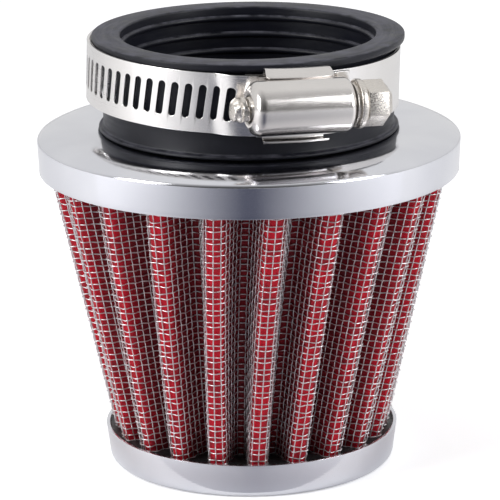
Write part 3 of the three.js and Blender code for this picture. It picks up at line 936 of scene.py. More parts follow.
def pleat_line(pleat, height, depth, shares):
    """Points and outward normals at shares of one pleat's length on a layer, and that length."""
    ridge = RIDGE_HALF - FOLD_SPREAD * depth
    valley = VALLEY_HALF + FOLD_SPREAD * depth
    low = PLEAT_DEPTH + depth
    corners = [
        pleat_corner(pleat - 0.5, 0, low, height),
        pleat_corner(pleat - 0.5, valley, low, height),
        pleat_corner(pleat, -ridge, depth, height),
        pleat_corner(pleat, ridge, depth, height),
        pleat_corner(pleat + 0.5, -valley, low, height),
        pleat_corner(pleat + 0.5, 0, low, height),
    ]
    sizes = [None, VALLEY_ROUND, RIDGE_ROUND, RIDGE_ROUND, VALLEY_ROUND, None]
    line = [corners[0][None]]
    for i in range(1, 5):
        line.append(round_corner(corners[i - 1], corners[i], corners[i + 1], sizes[i]))
    line = np.concatenate([*line, corners[5][None]])
    lengths = np.linalg.norm(np.diff(line, axis=0), axis=1)
    along = np.concatenate([[0], np.cumsum(lengths)])
    at = np.asarray(shares) * along[-1]
    points = np.stack([np.interp(at, along, line[:, k]) for k in (0, 1)], axis=1)
    ahead = np.stack([np.interp(at + NORMAL_REACH, along, line[:, k]) for k in (0, 1)], axis=1)
    behind = np.stack([np.interp(at - NORMAL_REACH, along, line[:, k]) for k in (0, 1)], axis=1)
    run = ahead - behind
    run /= np.linalg.norm(run, axis=1)[:, None]
    return points, np.stack([run[:, 1], -run[:, 0]], axis=1), along[-1]


half_way_up = (PACK_LOW + PACK_HIGH) / 2
pleat_lengths = [pleat_line(k, half_way_up, CLOTH_MIDDLE, [0])[2] for k in range(PLEATS)]
cloth_width = sum(pleat_lengths)
cloth_length = (PACK_HIGH - PACK_LOW) * math.hypot(1, PACK_SLOPE)
print("one pleat takes", round(cloth_width / PLEATS / MM, 2), "mm of cloth half way up")
print("flat cloth:", round(cloth_width / MM), "x", round(cloth_length / MM, 1), "mm")

# %% [markdown]
# The medium starts as a flat grid, as the cloth is before it is pleated. Each vertex of the grid
# knows how far it is along the cloth and up it, and moves to that place on the pleated line.
# Small waves keep it from looking like folded card. Solidify then gives it its thickness.

# %% Pleated medium
MEDIUM_FACE = 0.5 * MM
MEDIUM_THICKNESS = 0.6 * MM
CLOTH_COLUMNS = 24
CLOTH_ROWS = 30
PUFF = 0.09 * MM
PUFF_SCALE = 380
PUFF_INSET = 0.05 * MM


def make_medium():
    bpy.ops.object.select_all(action="DESELECT")
    bpy.ops.mesh.primitive_grid_add(
        x_subdivisions=PLEATS * CLOTH_COLUMNS, y_subdivisions=CLOTH_ROWS, size=1
    )
    piece = bpy.context.object
    piece.name = "medium"
    columns = PLEATS * CLOTH_COLUMNS
    shares = np.linspace(0, 1, CLOTH_COLUMNS + 1)
    rows = []
    for row in range(CLOTH_ROWS + 1):
        height = PACK_LOW + (PACK_HIGH - PACK_LOW) * row / CLOTH_ROWS
        points, normals = [], []
        for pleat in range(PLEATS):
            spots, outs, _ = pleat_line(pleat, height, MEDIUM_FACE, shares)
            points.append(spots[:-1])
            normals.append(outs[:-1])
        rows.append((np.concatenate(points), np.concatenate(normals), height))
    for vertex in piece.data.vertices:
        column = round((vertex.co.x + 0.5) * columns) % columns
        spots, outs, height = rows[round((vertex.co.y + 0.5) * CLOTH_ROWS)]
        spot, out = spots[column], outs[column]
        puff = waves(Vector((spot[0], spot[1], height)), (PUFF_SCALE, PUFF)) - PUFF_INSET
        vertex.co = (spot[0] + puff * out[0], spot[1] + puff * out[1], height)
    edit(piece)
    bpy.ops.mesh.remove_doubles(threshold=MERGE_WITHIN)
    leave_edit()
    return piece


def face_away(piece):
    """Turns an open sheet's faces away from the axis, if they look towards it."""
    outward = sum(f.normal.x * f.center.x + f.normal.y * f.center.y for f in piece.data.polygons)
    if outward < 0:
        edit(piece)
        bpy.ops.mesh.flip_normals()
        leave_edit()
    return piece


medium = face_away(make_medium())
apply_modifier(medium, "SOLIDIFY", thickness=MEDIUM_THICKNESS, offset=-1)
smooth(medium, 60)
finish_piece(medium, "filter", cotton_finish(cloth_width, cloth_length), "medium", "filter_media")

# %% [markdown]
# ## Woven wire screens
# A screen is woven from round wire, one up and one down. Each wire is drawn as a curve, and Bevel
# on the curve makes it round. A wire has only four sides, because there are thousands of crossings.

# %% Wires and their crossings
WIRE_R = 0.1 * MM
WIRES_PER_PLEAT = 13
ROUND_PITCH = 1.05 * MM
FIRST_ROUND = 0.4 * MM
LAST_ROUND = 0.2 * MM
round_heights = np.arange(PACK_LOW + FIRST_ROUND, PACK_HIGH - LAST_ROUND, ROUND_PITCH)
upright_shares = (np.arange(WIRES_PER_PLEAT) + 0.5) / WIRES_PER_PLEAT
upright_count = PLEATS * WIRES_PER_PLEAT
print(upright_count, "upright wires cross", len(round_heights), "round ones")


def wires(name, lines, closed):
    """One object of round wires, from lists of points."""
    curve = bpy.data.curves.new(name, "CURVE")
    curve.dimensions = "3D"
    curve.bevel_depth = WIRE_R
    curve.bevel_resolution = 0
    curve.use_fill_caps = True
    for line in lines:
        spline = curve.splines.new("POLY")
        spline.points.add(len(line) - 1)
        spline.points.foreach_set("co", np.column_stack([line, np.ones(len(line))]).ravel())
        spline.use_cyclic_u = closed
    piece = bpy.data.objects.new(name, curve)
    bpy.context.scene.collection.objects.link(piece)
    only(piece)
    bpy.ops.object.convert(target="MESH")
    piece = bpy.context.object
    bpy.ops.object.shade_smooth()
    return piece


def on_screen(pleat, shares, height, depth):
    points, normals, _ = pleat_line(pleat, height, depth, shares)
    flat = np.column_stack([points, np.full(len(points), height)])
    return flat, np.column_stack([normals, np.zeros(len(normals))])


def over_or_under(upright, ring):
    return 1 if (upright + ring) % 2 else -1


# %% [markdown]
# A wire rises and dips at every crossing, the round wires more than the stiffer uprights. Every
# second round wire sags over the ridges, as a loosely woven wire does, and each wavers a little.

# %% Uprights and rounds
UPRIGHT_CREST = 0.05 * MM
ROUND_CREST = 0.15 * MM
SAG = 0.24 * MM
SAG_REACH = 0.1
WAVER = 0.08 * MM


def upright_lines(depth, hops):
    """Every upright wire: hops are where it is sampled round each crossing, in pitches."""
    heights = (round_heights[:, None] + np.array(hops) * ROUND_PITCH).ravel()
    rings = np.repeat(np.arange(len(round_heights)), len(hops))
    lines = np.zeros((upright_count, len(heights), 3))
    for row, (height, ring) in enumerate(zip(heights, rings)):
        for pleat in range(PLEATS):
            spots, outs = on_screen(pleat, upright_shares, height, depth)
            for k in range(WIRES_PER_PLEAT):
                upright = pleat * WIRES_PER_PLEAT + k
                lines[upright, row] = spots[k] + outs[k] * UPRIGHT_CREST * over_or_under(upright, ring)
    return lines


def round_lines(depth, hops):
    """Every round wire: hops are where it is sampled round each crossing, in pitches."""
    shares = (upright_shares[:, None] + np.array(hops) / WIRES_PER_PLEAT).ravel()
    columns = np.repeat(np.arange(WIRES_PER_PLEAT), len(hops))
    lines = []
    for ring, height in enumerate(round_heights):
        line = []
        for pleat in range(PLEATS):
            spots, outs = on_screen(pleat, shares, height, depth)
            uprights = pleat * WIRES_PER_PLEAT + columns
            sides = np.array([-over_or_under(u, ring) for u in uprights])
            spots = spots + outs * (ROUND_CREST * sides)[:, None]
            over_ridge = np.exp(-(((shares - 0.5) / SAG_REACH) ** 2))
            waver = noise.noise(Vector((pleat * 0.7, ring * 0.9, 3.1)))
            spots[:, 2] -= over_ridge * (SAG * (ring % 2) + WAVER * waver)
            line.append(spots)
        lines.append(np.concatenate(line))
    return lines


# %% [markdown]
# One screen lies outside the medium and one inside it. The outer one is sampled twice at each
# crossing, so its hops are crisp, and the inner one, which is hardly seen, once. The medium is a
# sheet that is held folded between them.

# %% Two screens and the folded sheet
OUTER_DEPTH = 0.24 * MM
INNER_DEPTH = 1.42 * MM
TWICE = (-0.22, 0.22)
ONCE = (0.0,)
screens = [
    wires("outer_screen_uprights", upright_lines(OUTER_DEPTH, TWICE), False),
    wires("outer_screen_rounds", round_lines(OUTER_DEPTH, TWICE), True),
    wires("inner_screen_uprights", upright_lines(INNER_DEPTH, ONCE), False),
    wires("inner_screen_rounds", round_lines(INNER_DEPTH, ONCE), True),
]
finish_piece(screens[0], "filter", wire_metal, "wire", "outer_mesh")
finish_piece(screens[1], "filter", wire_metal, "wire", "outer_mesh")
finish_piece(screens[2], "filter", wire_metal, "wire", "inner_mesh")
finish_piece(screens[3], "filter", wire_metal, "wire", "inner_mesh")

# %% [markdown]
# ## Potting
# The ends of the pack stand in black compound that is poured into the caps and sets there. It creeps
# up the pleats a little, so the face towards the pack isn't flat: small random waves lift and dent
# it.

# %% Potting rings
CREEP = 0.3 * MM
CREEP_WAVES = ((420, 0.6), (1300, 0.25))
ROUGH_WITHIN = 0.25 * MM


def potted(name, points, face_height, node):
    """A cast ring or disc, rough on the face at a height."""
    piece = turn_piece(name, points, 192)

    def settle(co):
        if abs(co.z - face_height) > ROUGH_WITHIN:
            return co
        return Vector((co.x, co.y, co.z + CREEP * waves(co, *CREEP_WAVES)))

    reshape(piece, settle)
    smooth(piece, 50)
    return finish_piece(piece, "filter", potting, "potting", node)


def face_rings(inner, outer, height, count):
    """Points across a face, close enough for its waves."""
    return [(inner + (outer - inner) * i / count, height) for i in range(count + 1)]


TOP_RING_R = 21.8 * MM
FLANGE_SEAT_R = 30.1 * MM
SKIRT_INSIDE = CAP_R - CAP_SKIRT_TAPER - SHEET - 0.05 * MM
top_face = PACK_HIGH - 0.45 * MM
neck_seat = bottom_of("rubber_neck") - 0.1 * MM
top_ring = face_rings(TOP_RING_R, SKIRT_INSIDE, top_face, 24)
top_ring += [(SKIRT_INSIDE, CAP_TOP - 3.0 * MM), (SKIRT_INSIDE - 2.6 * MM, CAP_TOP - 1.2 * MM)]
top_ring += [(FLANGE_SEAT_R, CAP_TOP - 0.9 * MM), (FLANGE_SEAT_R, neck_seat), (TOP_RING_R, neck_seat)]
potted("potting_top", top_ring, top_face, "top_potting")

DISC_R = 23.85 * MM
DISC_FLOOR = 1.0 * MM
bottom_face = PACK_LOW + 0.35 * MM
disc = [(0, DISC_FLOOR), (21.5 * MM, DISC_FLOOR), (23.0 * MM, 2.2 * MM)]
disc += face_rings(DISC_R, 0, bottom_face, 34)
potted("potting_bottom", disc, bottom_face, "bottom_potting")

# %% [markdown]
# The strip that closes the pack at the back is a plain folded channel. Its engineering shape is
# already right, so it stays and only gets the finish of the wire.

# %% Seam strip
seam = frame["nodes"]["seam_clip"]
seam.data.materials.clear()
seam.data.materials.append(wire_metal)

# %% [markdown]
# ## Hose clamp strap
# The strap is rolled steel with a ladder of leaning slots that the worm bites into. One slot is
# made as a tile: a circle is stretched into a slot, leant over as the worm's thread leans, and its
# edge is extruded out to the tile's border.

# %% One slotted tile
BAND_R = 25.25 * MM
STRAP_R = 26.4 * MM
STRAP_THICKNESS = 0.5 * MM
BAND_HALF = 4.85 * MM
SLOT_HALF_LENGTH = 2.75 * MM
SLOT_R = 0.6 * MM
SLOT_LIFT = 0.1 * MM
WORM_PITCH = 2.35 * MM
THREAD_R = 3.03 * MM
SLOT_LEAN = math.atan(WORM_PITCH / (FULL_TURN * THREAD_R))
TILE_SIDES = 24


def slot_point(index):
    """A corner of the slot's outline, counted round from its right side."""
    half = TILE_SIDES // 2
    place = index % TILE_SIDES
    if place % half == 0:
        flat = Vector((SLOT_R if place == 0 else -SLOT_R, 0, 0))
    else:
        top = place < half
        swing = math.pi * ((place % half) - 1) / (half - 2)
        reach = SLOT_HALF_LENGTH - SLOT_R
        flat = Vector((SLOT_R * math.cos(swing), 0, reach + SLOT_R * math.sin(swing)))
        flat = flat if top else -flat
    lean = Matrix.Rotation(SLOT_LEAN, 3, "Y")
    return lean @ flat + Vector((0, 0, SLOT_LIFT))


def border_point(index, width):
    """The point of the tile's border that belongs to a corner of the slot."""
    turn = (index / TILE_SIDES * 8 + 1) % 8
    side, share = int(turn // 2), turn % 2 - 1
    x, z = width / 2, BAND_HALF
    return [
        Vector((x, 0, share * z)),
        Vector((-share * x, 0, z)),
        Vector((-x, 0, -share * z)),
        Vector((share * x, 0, -z)),
    ][side]


def slotted_tile(name, width):
    bpy.ops.object.select_all(action="DESELECT")
    bpy.ops.mesh.primitive_circle_add(vertices=TILE_SIDES, radius=SLOT_R, fill_type="NOTHING")
    piece = bpy.context.object
    piece.name = name
    for vertex in piece.data.vertices:
        index = round(math.atan2(vertex.co.y, vertex.co.x) / FULL_TURN * TILE_SIDES)
        vertex.co = slot_point(index)
    edit(piece)
    bpy.ops.mesh.extrude_region_move(TRANSFORM_OT_translate={"value": (0, 0, 0)})
    leave_edit()
    outer = [vertex for vertex in piece.data.vertices if vertex.select]
    for vertex in outer:
        nearest = min(range(TILE_SIDES), key=lambda i: (slot_point(i) - vertex.co).length)
        vertex.co = border_point(nearest, width)
    return piece


# %% [markdown]
# Array copies the tile along X, and the plain stretches are extruded from both of its ends. The
# flat strip is then rolled up: each vertex's x becomes an azimuth round the clamp's axis.

# %% Making a strip
SAME_PLACE = 0.001 * MM
STRIP_MERGE = 0.01 * MM
STRAP_EDGE = 0.07 * MM


def pull_end(piece, direction, end, steps):
    """Extrudes the strip's end, step by step, until it reaches a place along X."""
    xs = [vertex.co.x for vertex in piece.data.vertices]
    edge = max(xs) if direction > 0 else min(xs)
    step = (end - edge) / steps
    edit(piece, "DESELECT")
    leave_edit()
    for vertex in piece.data.vertices:
        vertex.select = abs(vertex.co.x - edge) < SAME_PLACE
    bpy.ops.object.mode_set(mode="EDIT")
    for _ in range(steps):
        bpy.ops.mesh.extrude_region_move(TRANSFORM_OT_translate={"value": (step, 0, 0)})
    leave_edit()
    return piece


def roll_up(piece, radius_at, per_degree):
    def rolled(co):
        azimuth = co.x / per_degree
        angle = math.radians(azimuth)
        radius = radius_at(azimuth)
        return Vector((radius * math.sin(angle), -radius * math.cos(angle), co.z))

    return reshape(piece, rolled)


def make_strip(name, first_slot, pitch, count, start, end, radius, radius_at, step=3.0):
    """A slotted strip from start to end; places and the slots' pitch are azimuths in degrees."""
    per_degree = math.radians(radius)
    tile = slotted_tile(name, pitch * per_degree)
    apply_modifier(
        tile,
        "ARRAY",
        count=count,
        use_relative_offset=False,
        use_constant_offset=True,
        constant_offset_displace=(pitch * per_degree, 0, 0),
    )
    reshape(tile, lambda co: co + Vector((first_slot * per_degree, 0, 0)))
    last_slot = first_slot + pitch * (count - 1)
    left_steps = max(1, round((first_slot - start) / step))
    right_steps = max(1, round((end - last_slot) / step))
    pull_end(tile, -1, start * per_degree, left_steps)
    pull_end(tile, 1, end * per_degree, right_steps)
    tidy_mesh(tile, STRIP_MERGE)
    roll_up(tile, radius_at, per_degree)
    face_away(tile)
    apply_modifier(tile, "SOLIDIFY", thickness=STRAP_THICKNESS, offset=1)
    soften_edges(tile, STRAP_EDGE, 2, 40)
    smooth(tile, 35)
    return apply_modifier(tile, "WEIGHTED_NORMAL", keep_sharp=True, weight=100)


# %% [markdown]
# The loop goes once round the neck and a little further, because it climbs onto its own start
# before it runs into the housing. Its slots take up the last two fifths of the turn.

# %% Strap loop
RAMP = (-11, -2)
LOOP_SLOTS = 30
LOOP_PITCH = 5.22
LAST_LOOP_SLOT = 360 - 4.4
LOOP_START = 0.5
LOOP_END = 365.0


def smoothstep(value, low, high):
    share = min(max((value - low) / (high - low), 0), 1)
    return share * share * (3 - 2 * share)


def band_radius(azimuth):
    """The loop lies on the neck, and climbs a ramp just before a full turn."""
    return BAND_R + (STRAP_R - BAND_R) * smoothstep(azimuth - 360, *RAMP)


band = make_strip(
    "strap_loop",
    LAST_LOOP_SLOT - LOOP_PITCH * (LOOP_SLOTS - 1),
    LOOP_PITCH,
    LOOP_SLOTS,
    LOOP_START,
    LOOP_END,
    BAND_R,
    band_radius,
)
move_into(band, clamp_frame)
finish_piece(band, "clamp", strap_metal, "clamp_steel", "clamp_band")

# %% [markdown]
# The free end comes out of the housing on the other side. It has the worm's own pitch, and one of
# its slots stands exactly under the screw, so a turn of the screw moves it on by one slot.

# %% Strap free end
TAIL_SLOTS = 5
TAIL_START = 10.9
TAIL_END = 38.5
TAIL_PITCH = math.degrees(WORM_PITCH / (STRAP_R + STRAP_THICKNESS / 2))
tail = make_strip(
    "strap_free_end",
    SCREW_AZIMUTH - TAIL_PITCH,
    TAIL_PITCH,
    TAIL_SLOTS,
    TAIL_START,
    TAIL_END,
    STRAP_R,
    lambda azimuth: STRAP_R,
)
move_into(tail, clamp_frame)
finish_piece(tail, "tail", strap_metal, "clamp_steel", "strap_tail")

# %% [markdown]
# ## Saddle
# The saddle is a strip of sheet that lies between the two layers of strap. Its upper edge rises past
# the strap and is rolled over onto the drum as an ear; the lower edge sticks straight out. So its
# section is one line, drawn from ear to ear and spun by the short arc that it covers. The four
# corners, which are the vertices with only two edges, are rounded, and the sheet is thickened.

# %% Saddle with its two ears
SADDLE_THICKNESS = 0.35 * MM
SADDLE_FROM = SCREW_AZIMUTH - 11.7
SADDLE_TO = SCREW_AZIMUTH + 10.7
SADDLE_SEAT_R = 25.9 * MM
LOWER_EAR_R = 28.08 * MM
LOWER_EAR_HEIGHT = -5.5 * MM
LOWER_EAR_ROLL = 0.22 * MM
LOWER_BEND = 0.4 * MM
UPPER_BEND = 0.7 * MM
EAR_CREST = (27.5 * MM, 5.1 * MM)
EAR_CREST_ROUND = 0.8 * MM
EAR_FALL = (28.7 * MM, 5.28 * MM)
EAR_END = (29.3 * MM, 4.9 * MM)
EAR_CORNER = 0.7 * MM


def saddle_line():
    """Radius and height of the sheet's middle, from the lower ear to the upper one."""
    middle = SADDLE_THICKNESS / 2
    base = SADDLE_SEAT_R + middle
    ear = LOWER_EAR_R - middle
    points = arc((ear - LOWER_EAR_ROLL, LOWER_EAR_HEIGHT), LOWER_EAR_ROLL, 20, -80, 6)
    points += arc((base + LOWER_BEND, -5.3 * MM), LOWER_BEND, -90, -180, 4)
    points += [(base, -4.6 * MM), (base, 5.1 * MM)]
    points += arc((base + UPPER_BEND, 5.2 * MM), UPPER_BEND, 180, 90, 5)
    points += arc(EAR_CREST, EAR_CREST_ROUND, 90, 55, 4)
    return [*points, EAR_FALL, EAR_END]


def spin_part(piece, degrees, steps):
    """Spins an outline part of the way round, and merges what came out double."""
    edit(piece)
    bpy.ops.mesh.spin(steps=steps, angle=math.radians(degrees), center=(0, 0, 0), axis=(0, 0, 1))
    bpy.ops.mesh.select_all(action="SELECT")
    bpy.ops.mesh.remove_doubles(threshold=MERGE_WITHIN)
    leave_edit()


def make_saddle():
    piece = draw_outline("saddle", saddle_line())
    spin_part(piece, SADDLE_TO - SADDLE_FROM, 16)
    edit(piece)
    bpy.ops.mesh.normals_make_consistent(inside=False)
    bpy.ops.mesh.select_all(action="DESELECT")
    leave_edit()
    ends = Counter(index for edge in piece.data.edges for index in edge.vertices)
    for vertex in piece.data.vertices:
        vertex.select = ends[vertex.index] == 2
    bpy.ops.object.mode_set(mode="EDIT")
    bpy.ops.mesh.bevel(offset=EAR_CORNER, segments=5, affect="VERTICES")
    leave_edit()
    return piece


def swing_to(piece, azimuth):
    """Turns a piece about Z so that its lowest azimuth is the one given."""
    found = min(math.atan2(v.co.x, -v.co.y) for v in piece.data.vertices)
    return move_into(piece, Matrix.Rotation(math.radians(azimuth) - found, 4, "Z"))


saddle = face_away(swing_to(make_saddle(), SADDLE_FROM))
apply_modifier(saddle, "SOLIDIFY", thickness=SADDLE_THICKNESS, offset=0)
soften_edges(saddle, PRESSED_EDGE, 3, 50)
smooth(saddle, 40)
move_into(saddle, clamp_frame)
finish_piece(saddle, "clamp", housing_metal, "clamp_steel", "clamp_saddle")

# %% [markdown]
# ## Screw housing
# The housing is pressed from thin sheet as a drum with drawn-in shoulders, open towards the strap.
# Two curved feet, which the saddle's ears hold, stand under it.

# %% Feet
FOOT_R = 27.1 * MM
FOOT_THICKNESS = 0.4 * MM
FOOT_SPAN = 14.0
LOWER_FOOT = (-4.8 * MM, -2.3 * MM)
UPPER_FOOT = (3.3 * MM, 4.8 * MM)


def make_feet():
    feet = []
    for low, high in (LOWER_FOOT, UPPER_FOOT):
        outline = [(FOOT_R, low), (FOOT_R + FOOT_THICKNESS, low)]
        outline += [(FOOT_R + FOOT_THICKNESS, high), (FOOT_R, high), (FOOT_R, low)]
        foot = draw_outline("foot", outline)
        spin_part(foot, 2 * FOOT_SPAN, 14)
        edit(foot, "DESELECT")
        bpy.ops.mesh.select_non_manifold()
        bpy.ops.mesh.fill()
        bpy.ops.mesh.select_all(action="SELECT")
        bpy.ops.mesh.normals_make_consistent(inside=False)
        leave_edit()
        feet.append(swing_to(foot, SCREW_AZIMUTH - FOOT_SPAN))
    return feet


feet = make_feet()
print("feet reach", FOOT_SPAN, "degrees to each side of the screw")

# %% [markdown]
# The drum is turned about the screw's line as a shell, and the side towards the strap is cut away
# with a round cutter of the feet's own radius.

# %% Drum
DRUM_R = 4.33 * MM
DRUM_WALL = 0.45 * MM
DRUM_FROM = -9.2 * MM
DRUM_TO = 7.45 * MM
TIP_HOLE_R = 2.25 * MM
TIP_ROLL = 0.6 * MM
TIP_ROLL_R = 2.75 * MM
LEFT_SHOULDER = 1.6 * MM
LEFT_SHOULDER_END = 1.75 * MM
RIGHT_SHOULDER = 1.0 * MM
SHANK_HOLE_R = 3.4 * MM


def drum_section():
    """Radius and place along the screw, out along the outside and back along the inside."""
    left, right = DRUM_FROM, DRUM_TO
    points = [(TIP_HOLE_R, left + DRUM_WALL), (TIP_HOLE_R, left + 0.1 * MM)]
    points += arc((TIP_ROLL_R, left + TIP_ROLL), TIP_ROLL, 250, 290, 3)
    points += arc((DRUM_R - LEFT_SHOULDER, left + LEFT_SHOULDER_END), LEFT_SHOULDER, -55, 0, 9)
    points += [(DRUM_R, left + 2.45 * MM), (DRUM_R, left + 4.85 * MM)]
    points += arc((DRUM_R - RIGHT_SHOULDER, right - RIGHT_SHOULDER), RIGHT_SHOULDER, 0, 75, 8)
    inner = DRUM_R - DRUM_WALL
    points += [(SHANK_HOLE_R, right - 0.1 * MM), (SHANK_HOLE_R - 0.05 * MM, right - 0.55 * MM)]
    points += [(inner, right - 1.4 * MM), (inner, left + 2.3 * MM)]
    points += [(inner - 0.35 * MM, left + 1.4 * MM), (3.0 * MM, left + DRUM_WALL + 0.5 * MM)]
    return points


def along_screw(piece):
    """Lays a piece that was turned about Z along the screw's line, so that its height is along X."""
    return move_into(piece, Matrix.Rotation(math.pi / 2, 4, "Y"))


def cut(piece, cutter):
    """Cuts one piece with another, which is then thrown away."""
    apply_modifier(piece, "BOOLEAN", operation="DIFFERENCE", solver="EXACT", object=cutter)
    bpy.data.objects.remove(cutter)
    return piece


def strap_cutter(radius):
    bpy.ops.object.select_all(action="DESELECT")
    bpy.ops.mesh.primitive_cylinder_add(vertices=256, radius=radius, depth=20 * MM)
    return bpy.context.object


drum = along_screw(turn_piece("housing", drum_section(), 128))
move_into(drum, screw_in_clamp)
cut(drum, strap_cutter(FOOT_R))
housing = join_pieces("housing", [drum, *feet])
smooth(housing, 30)
move_into(housing, clamp_frame)
finish_piece(housing, "clamp", housing_metal, "screw_steel", "clamp_housing")

# %% [markdown]
# ## Worm screw
# From the left: a rough peened tip, the worm with its right-handed thread, a smooth shank, a
# lens-shaped flange with a groove behind it, and a chamfered hexagon. The thread is a small closed
# section that the Screw modifier winds up.

# %% Thread
WORM_CORE_R = 2.7 * MM
WORM_FROM = -8.0 * MM
WORM_TO = 6.9 * MM
THREAD_CREST = 0.42 * MM
THREAD_ROOT_R = WORM_CORE_R - 0.2 * MM
THREAD_ROOT_HALF = 0.55 * MM
THREAD_RUN_OUT = 2 * MM


def make_thread():
    """A rounded ridge, wound as a right-handed helix that faces the strap half way along."""
    ridge = arc((THREAD_R, 0), THREAD_CREST, 60, -60, 6)
    ridge += [(THREAD_ROOT_R, -THREAD_ROOT_HALF), (THREAD_ROOT_R, THREAD_ROOT_HALF)]
    piece = draw_outline("thread", [*ridge, ridge[0]])
    tidy_mesh(piece)
    turns = int((WORM_TO - WORM_FROM - THREAD_RUN_OUT) / WORM_PITCH)
    apply_modifier(
        piece,
        "SCREW",
        angle=FULL_TURN,
        screw_offset=WORM_PITCH,
        iterations=turns,
        steps=32,
        render_steps=32,
        axis="Z",
    )
    edit(piece, "DESELECT")
    bpy.ops.mesh.select_non_manifold()
    bpy.ops.mesh.edge_face_add()
    leave_edit()
    tidy_mesh(piece)
    start = -turns * WORM_PITCH / 2
    return move_into(piece, Matrix.Translation((0, 0, start)))


thread = make_thread()
print("thread has", len(thread.data.vertices), "vertices")

# %% [markdown]
# The stock is turned in one go: the worm's core, the shank, a thin ring and a groove, and the
# flange with its two rounded edges.

# %% Stock
TIP_R = 2.1 * MM
CORE_TAPER = 0.3 * MM
TIP_OVERLAP = 0.4 * MM
SHANK_R = 2.9 * MM
GROOVE_FLOOR_R = 3.2 * MM
HEAD_FROM = 7.75 * MM
RING_ROUND = 0.15 * MM
HEAD_R = 3.93 * MM
FLANGE_FRONT_ROUND = 0.3 * MM
FLANGE_BACK_ROUND = 0.55 * MM
HEX_FROM = 9.6 * MM
HEX_SEAT_R = 3.05 * MM
HEX_OVERLAP = 0.3 * MM


def screw_stock():
    """Radius and place along the screw, from the tip's side to the hexagon's."""
    tip_side = WORM_FROM - TIP_OVERLAP
    hex_side = HEX_FROM + HEX_OVERLAP
    points = [(0, tip_side), (TIP_R, tip_side), (WORM_CORE_R, WORM_FROM + CORE_TAPER)]
    points += [(WORM_CORE_R, WORM_TO - CORE_TAPER), (SHANK_R, WORM_TO)]
    points.append((SHANK_R, HEAD_FROM - 0.05 * MM))
    points += arc((GROOVE_FLOOR_R + RING_ROUND, HEAD_FROM + RING_ROUND), RING_ROUND, -90, 90, 6)
    points += [(GROOVE_FLOOR_R, HEAD_FROM + 0.32 * MM), (GROOVE_FLOOR_R, HEAD_FROM + 0.6 * MM)]
    front, back = FLANGE_FRONT_ROUND, FLANGE_BACK_ROUND
    points += arc((HEAD_R - front, HEAD_FROM + 0.95 * MM), front, -80, 0, 4)
    points += arc((HEAD_R - back, HEX_FROM - back), back, 8, 80, 6)
    return [*points, (HEX_SEAT_R, HEX_FROM), (HEX_SEAT_R, hex_side), (0, hex_side)]


stock = turn_piece("screw", screw_stock(), 96)
print("stock has", len(stock.data.vertices), "vertices")

# %% [markdown]
# The hexagon is a prism whose end face is inset twice. What lies outside the circle that its flats
# touch sinks, which chamfers the corners.

# %% Hexagon
HEX_TO = 13.9 * MM
HEX_FLATS = 6.5 * MM
HEX_TURN = math.radians(-9)
HEX_START = 0.1 * MM
END_INSETS = (0.35 * MM, 0.6 * MM)
CHAMFER = 0.8 * MM
HEX_EDGE = 0.3 * MM


def make_hexagon():
    """A hexagonal prism with a chamfered end."""
    bpy.ops.object.select_all(action="DESELECT")
    depth = HEX_TO - HEX_FROM - HEX_START
    bpy.ops.mesh.primitive_cylinder_add(
        vertices=6, radius=HEX_FLATS / math.sqrt(3), depth=depth, location=(0, 0, HEX_TO - depth / 2)
    )
    piece = bpy.context.object
    move_into(piece, Matrix.Rotation(HEX_TURN, 4, "Z"))
    edit(piece, "DESELECT")
    bpy.ops.mesh.select_mode(type="FACE")
    leave_edit()
    for face in piece.data.polygons:
        face.select = face.normal.z > 0.9
    bpy.ops.object.mode_set(mode="EDIT")
    for thickness in END_INSETS:
        bpy.ops.mesh.inset(thickness=thickness)
    leave_edit()
    for vertex in piece.data.vertices:
        out = math.hypot(vertex.co.x, vertex.co.y)
        if vertex.co.z > HEX_TO - 0.05 * MM and out > HEX_FLATS / 2:
            vertex.co.z -= CHAMFER
    soften_edges(piece, HEX_EDGE, 3, 20)
    return piece


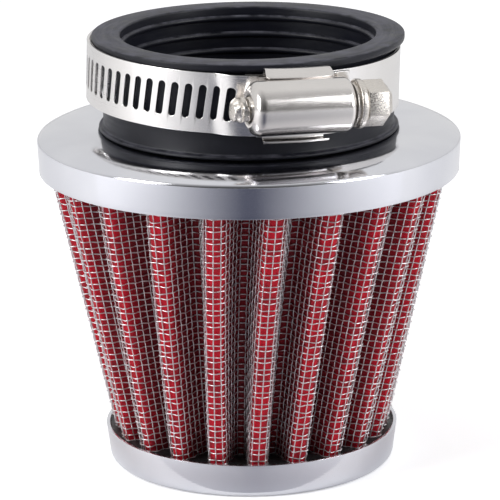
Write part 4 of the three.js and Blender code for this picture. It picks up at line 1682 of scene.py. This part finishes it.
hexagon = make_hexagon()
print("hexagon has", len(hexagon.data.polygons), "faces")

# %% [markdown]
# The tip is the peened end of the worm: a blunt nub, hammered lumpy, with the last ridges of the
# worm still showing. The four parts are joined into one screw and laid along the screw's line.

# %% Tip and whole screw
TIP_END = -12.1 * MM
TIP_ROUND = 0.95 * MM
TIP_WALL_STEPS = 16
RIDGE_PITCH = 1.15 * MM
RIDGE = 0.13 * MM
HAMMER_MARKS = ((900, 0.3), (2600, 0.12))
HAMMERED_IN = 0.25 * MM
END_LUMP = 0.25 * MM


def make_tip():
    low = TIP_END + 1.1 * MM
    points = [(0, TIP_END + 0.05 * MM)]
    points += arc((TIP_R - TIP_ROUND, TIP_END + 1.0 * MM), TIP_ROUND, -90, 0, 8)
    for i in range(TIP_WALL_STEPS + 1):
        points.append((TIP_R - 0.02 * MM, low + (WORM_FROM - low) * i / TIP_WALL_STEPS))
    points.append((0, WORM_FROM))
    piece = turn_piece("tip", points, 48)

    def hammer(co):
        out = math.hypot(co.x, co.y)
        if out < 0.05 * MM:
            return co
        turn = math.atan2(co.y, co.x)
        ridge = math.cos(turn - co.z / RIDGE_PITCH * FULL_TURN) * RIDGE
        share = (out + ridge + waves(co, *HAMMER_MARKS) * MM - HAMMERED_IN) / out
        end_lift = max(0.0, noise.noise(co * 700 + Vector((3, 1, 2)))) * END_LUMP
        return Vector((co.x * share, co.y * share, max(co.z + end_lift, TIP_END + 0.02 * MM)))

    return reshape(piece, hammer)


screw = join_pieces("screw", [stock, thread, hexagon, make_tip()])
smooth(screw, 32)
along_screw(screw)
move_into(screw, screw_frame)
finish_piece(screw, "screw", screw_metal, "screw_steel", "worm_screw")

# %% [markdown]
# ## The sizes
# The visual model must stay inside the engineering model's box, so both boxes are printed side by side.

# %% Print the sizes
seen_low, seen_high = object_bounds()
sizes = {
    "cad": [list(cad_low), list(cad_high)],
    "visual": [list(seen_low), list(seen_high)],
}
for label, box in sizes.items():
    print(label, [[round(x / MM, 2) for x in corner] for corner in box])
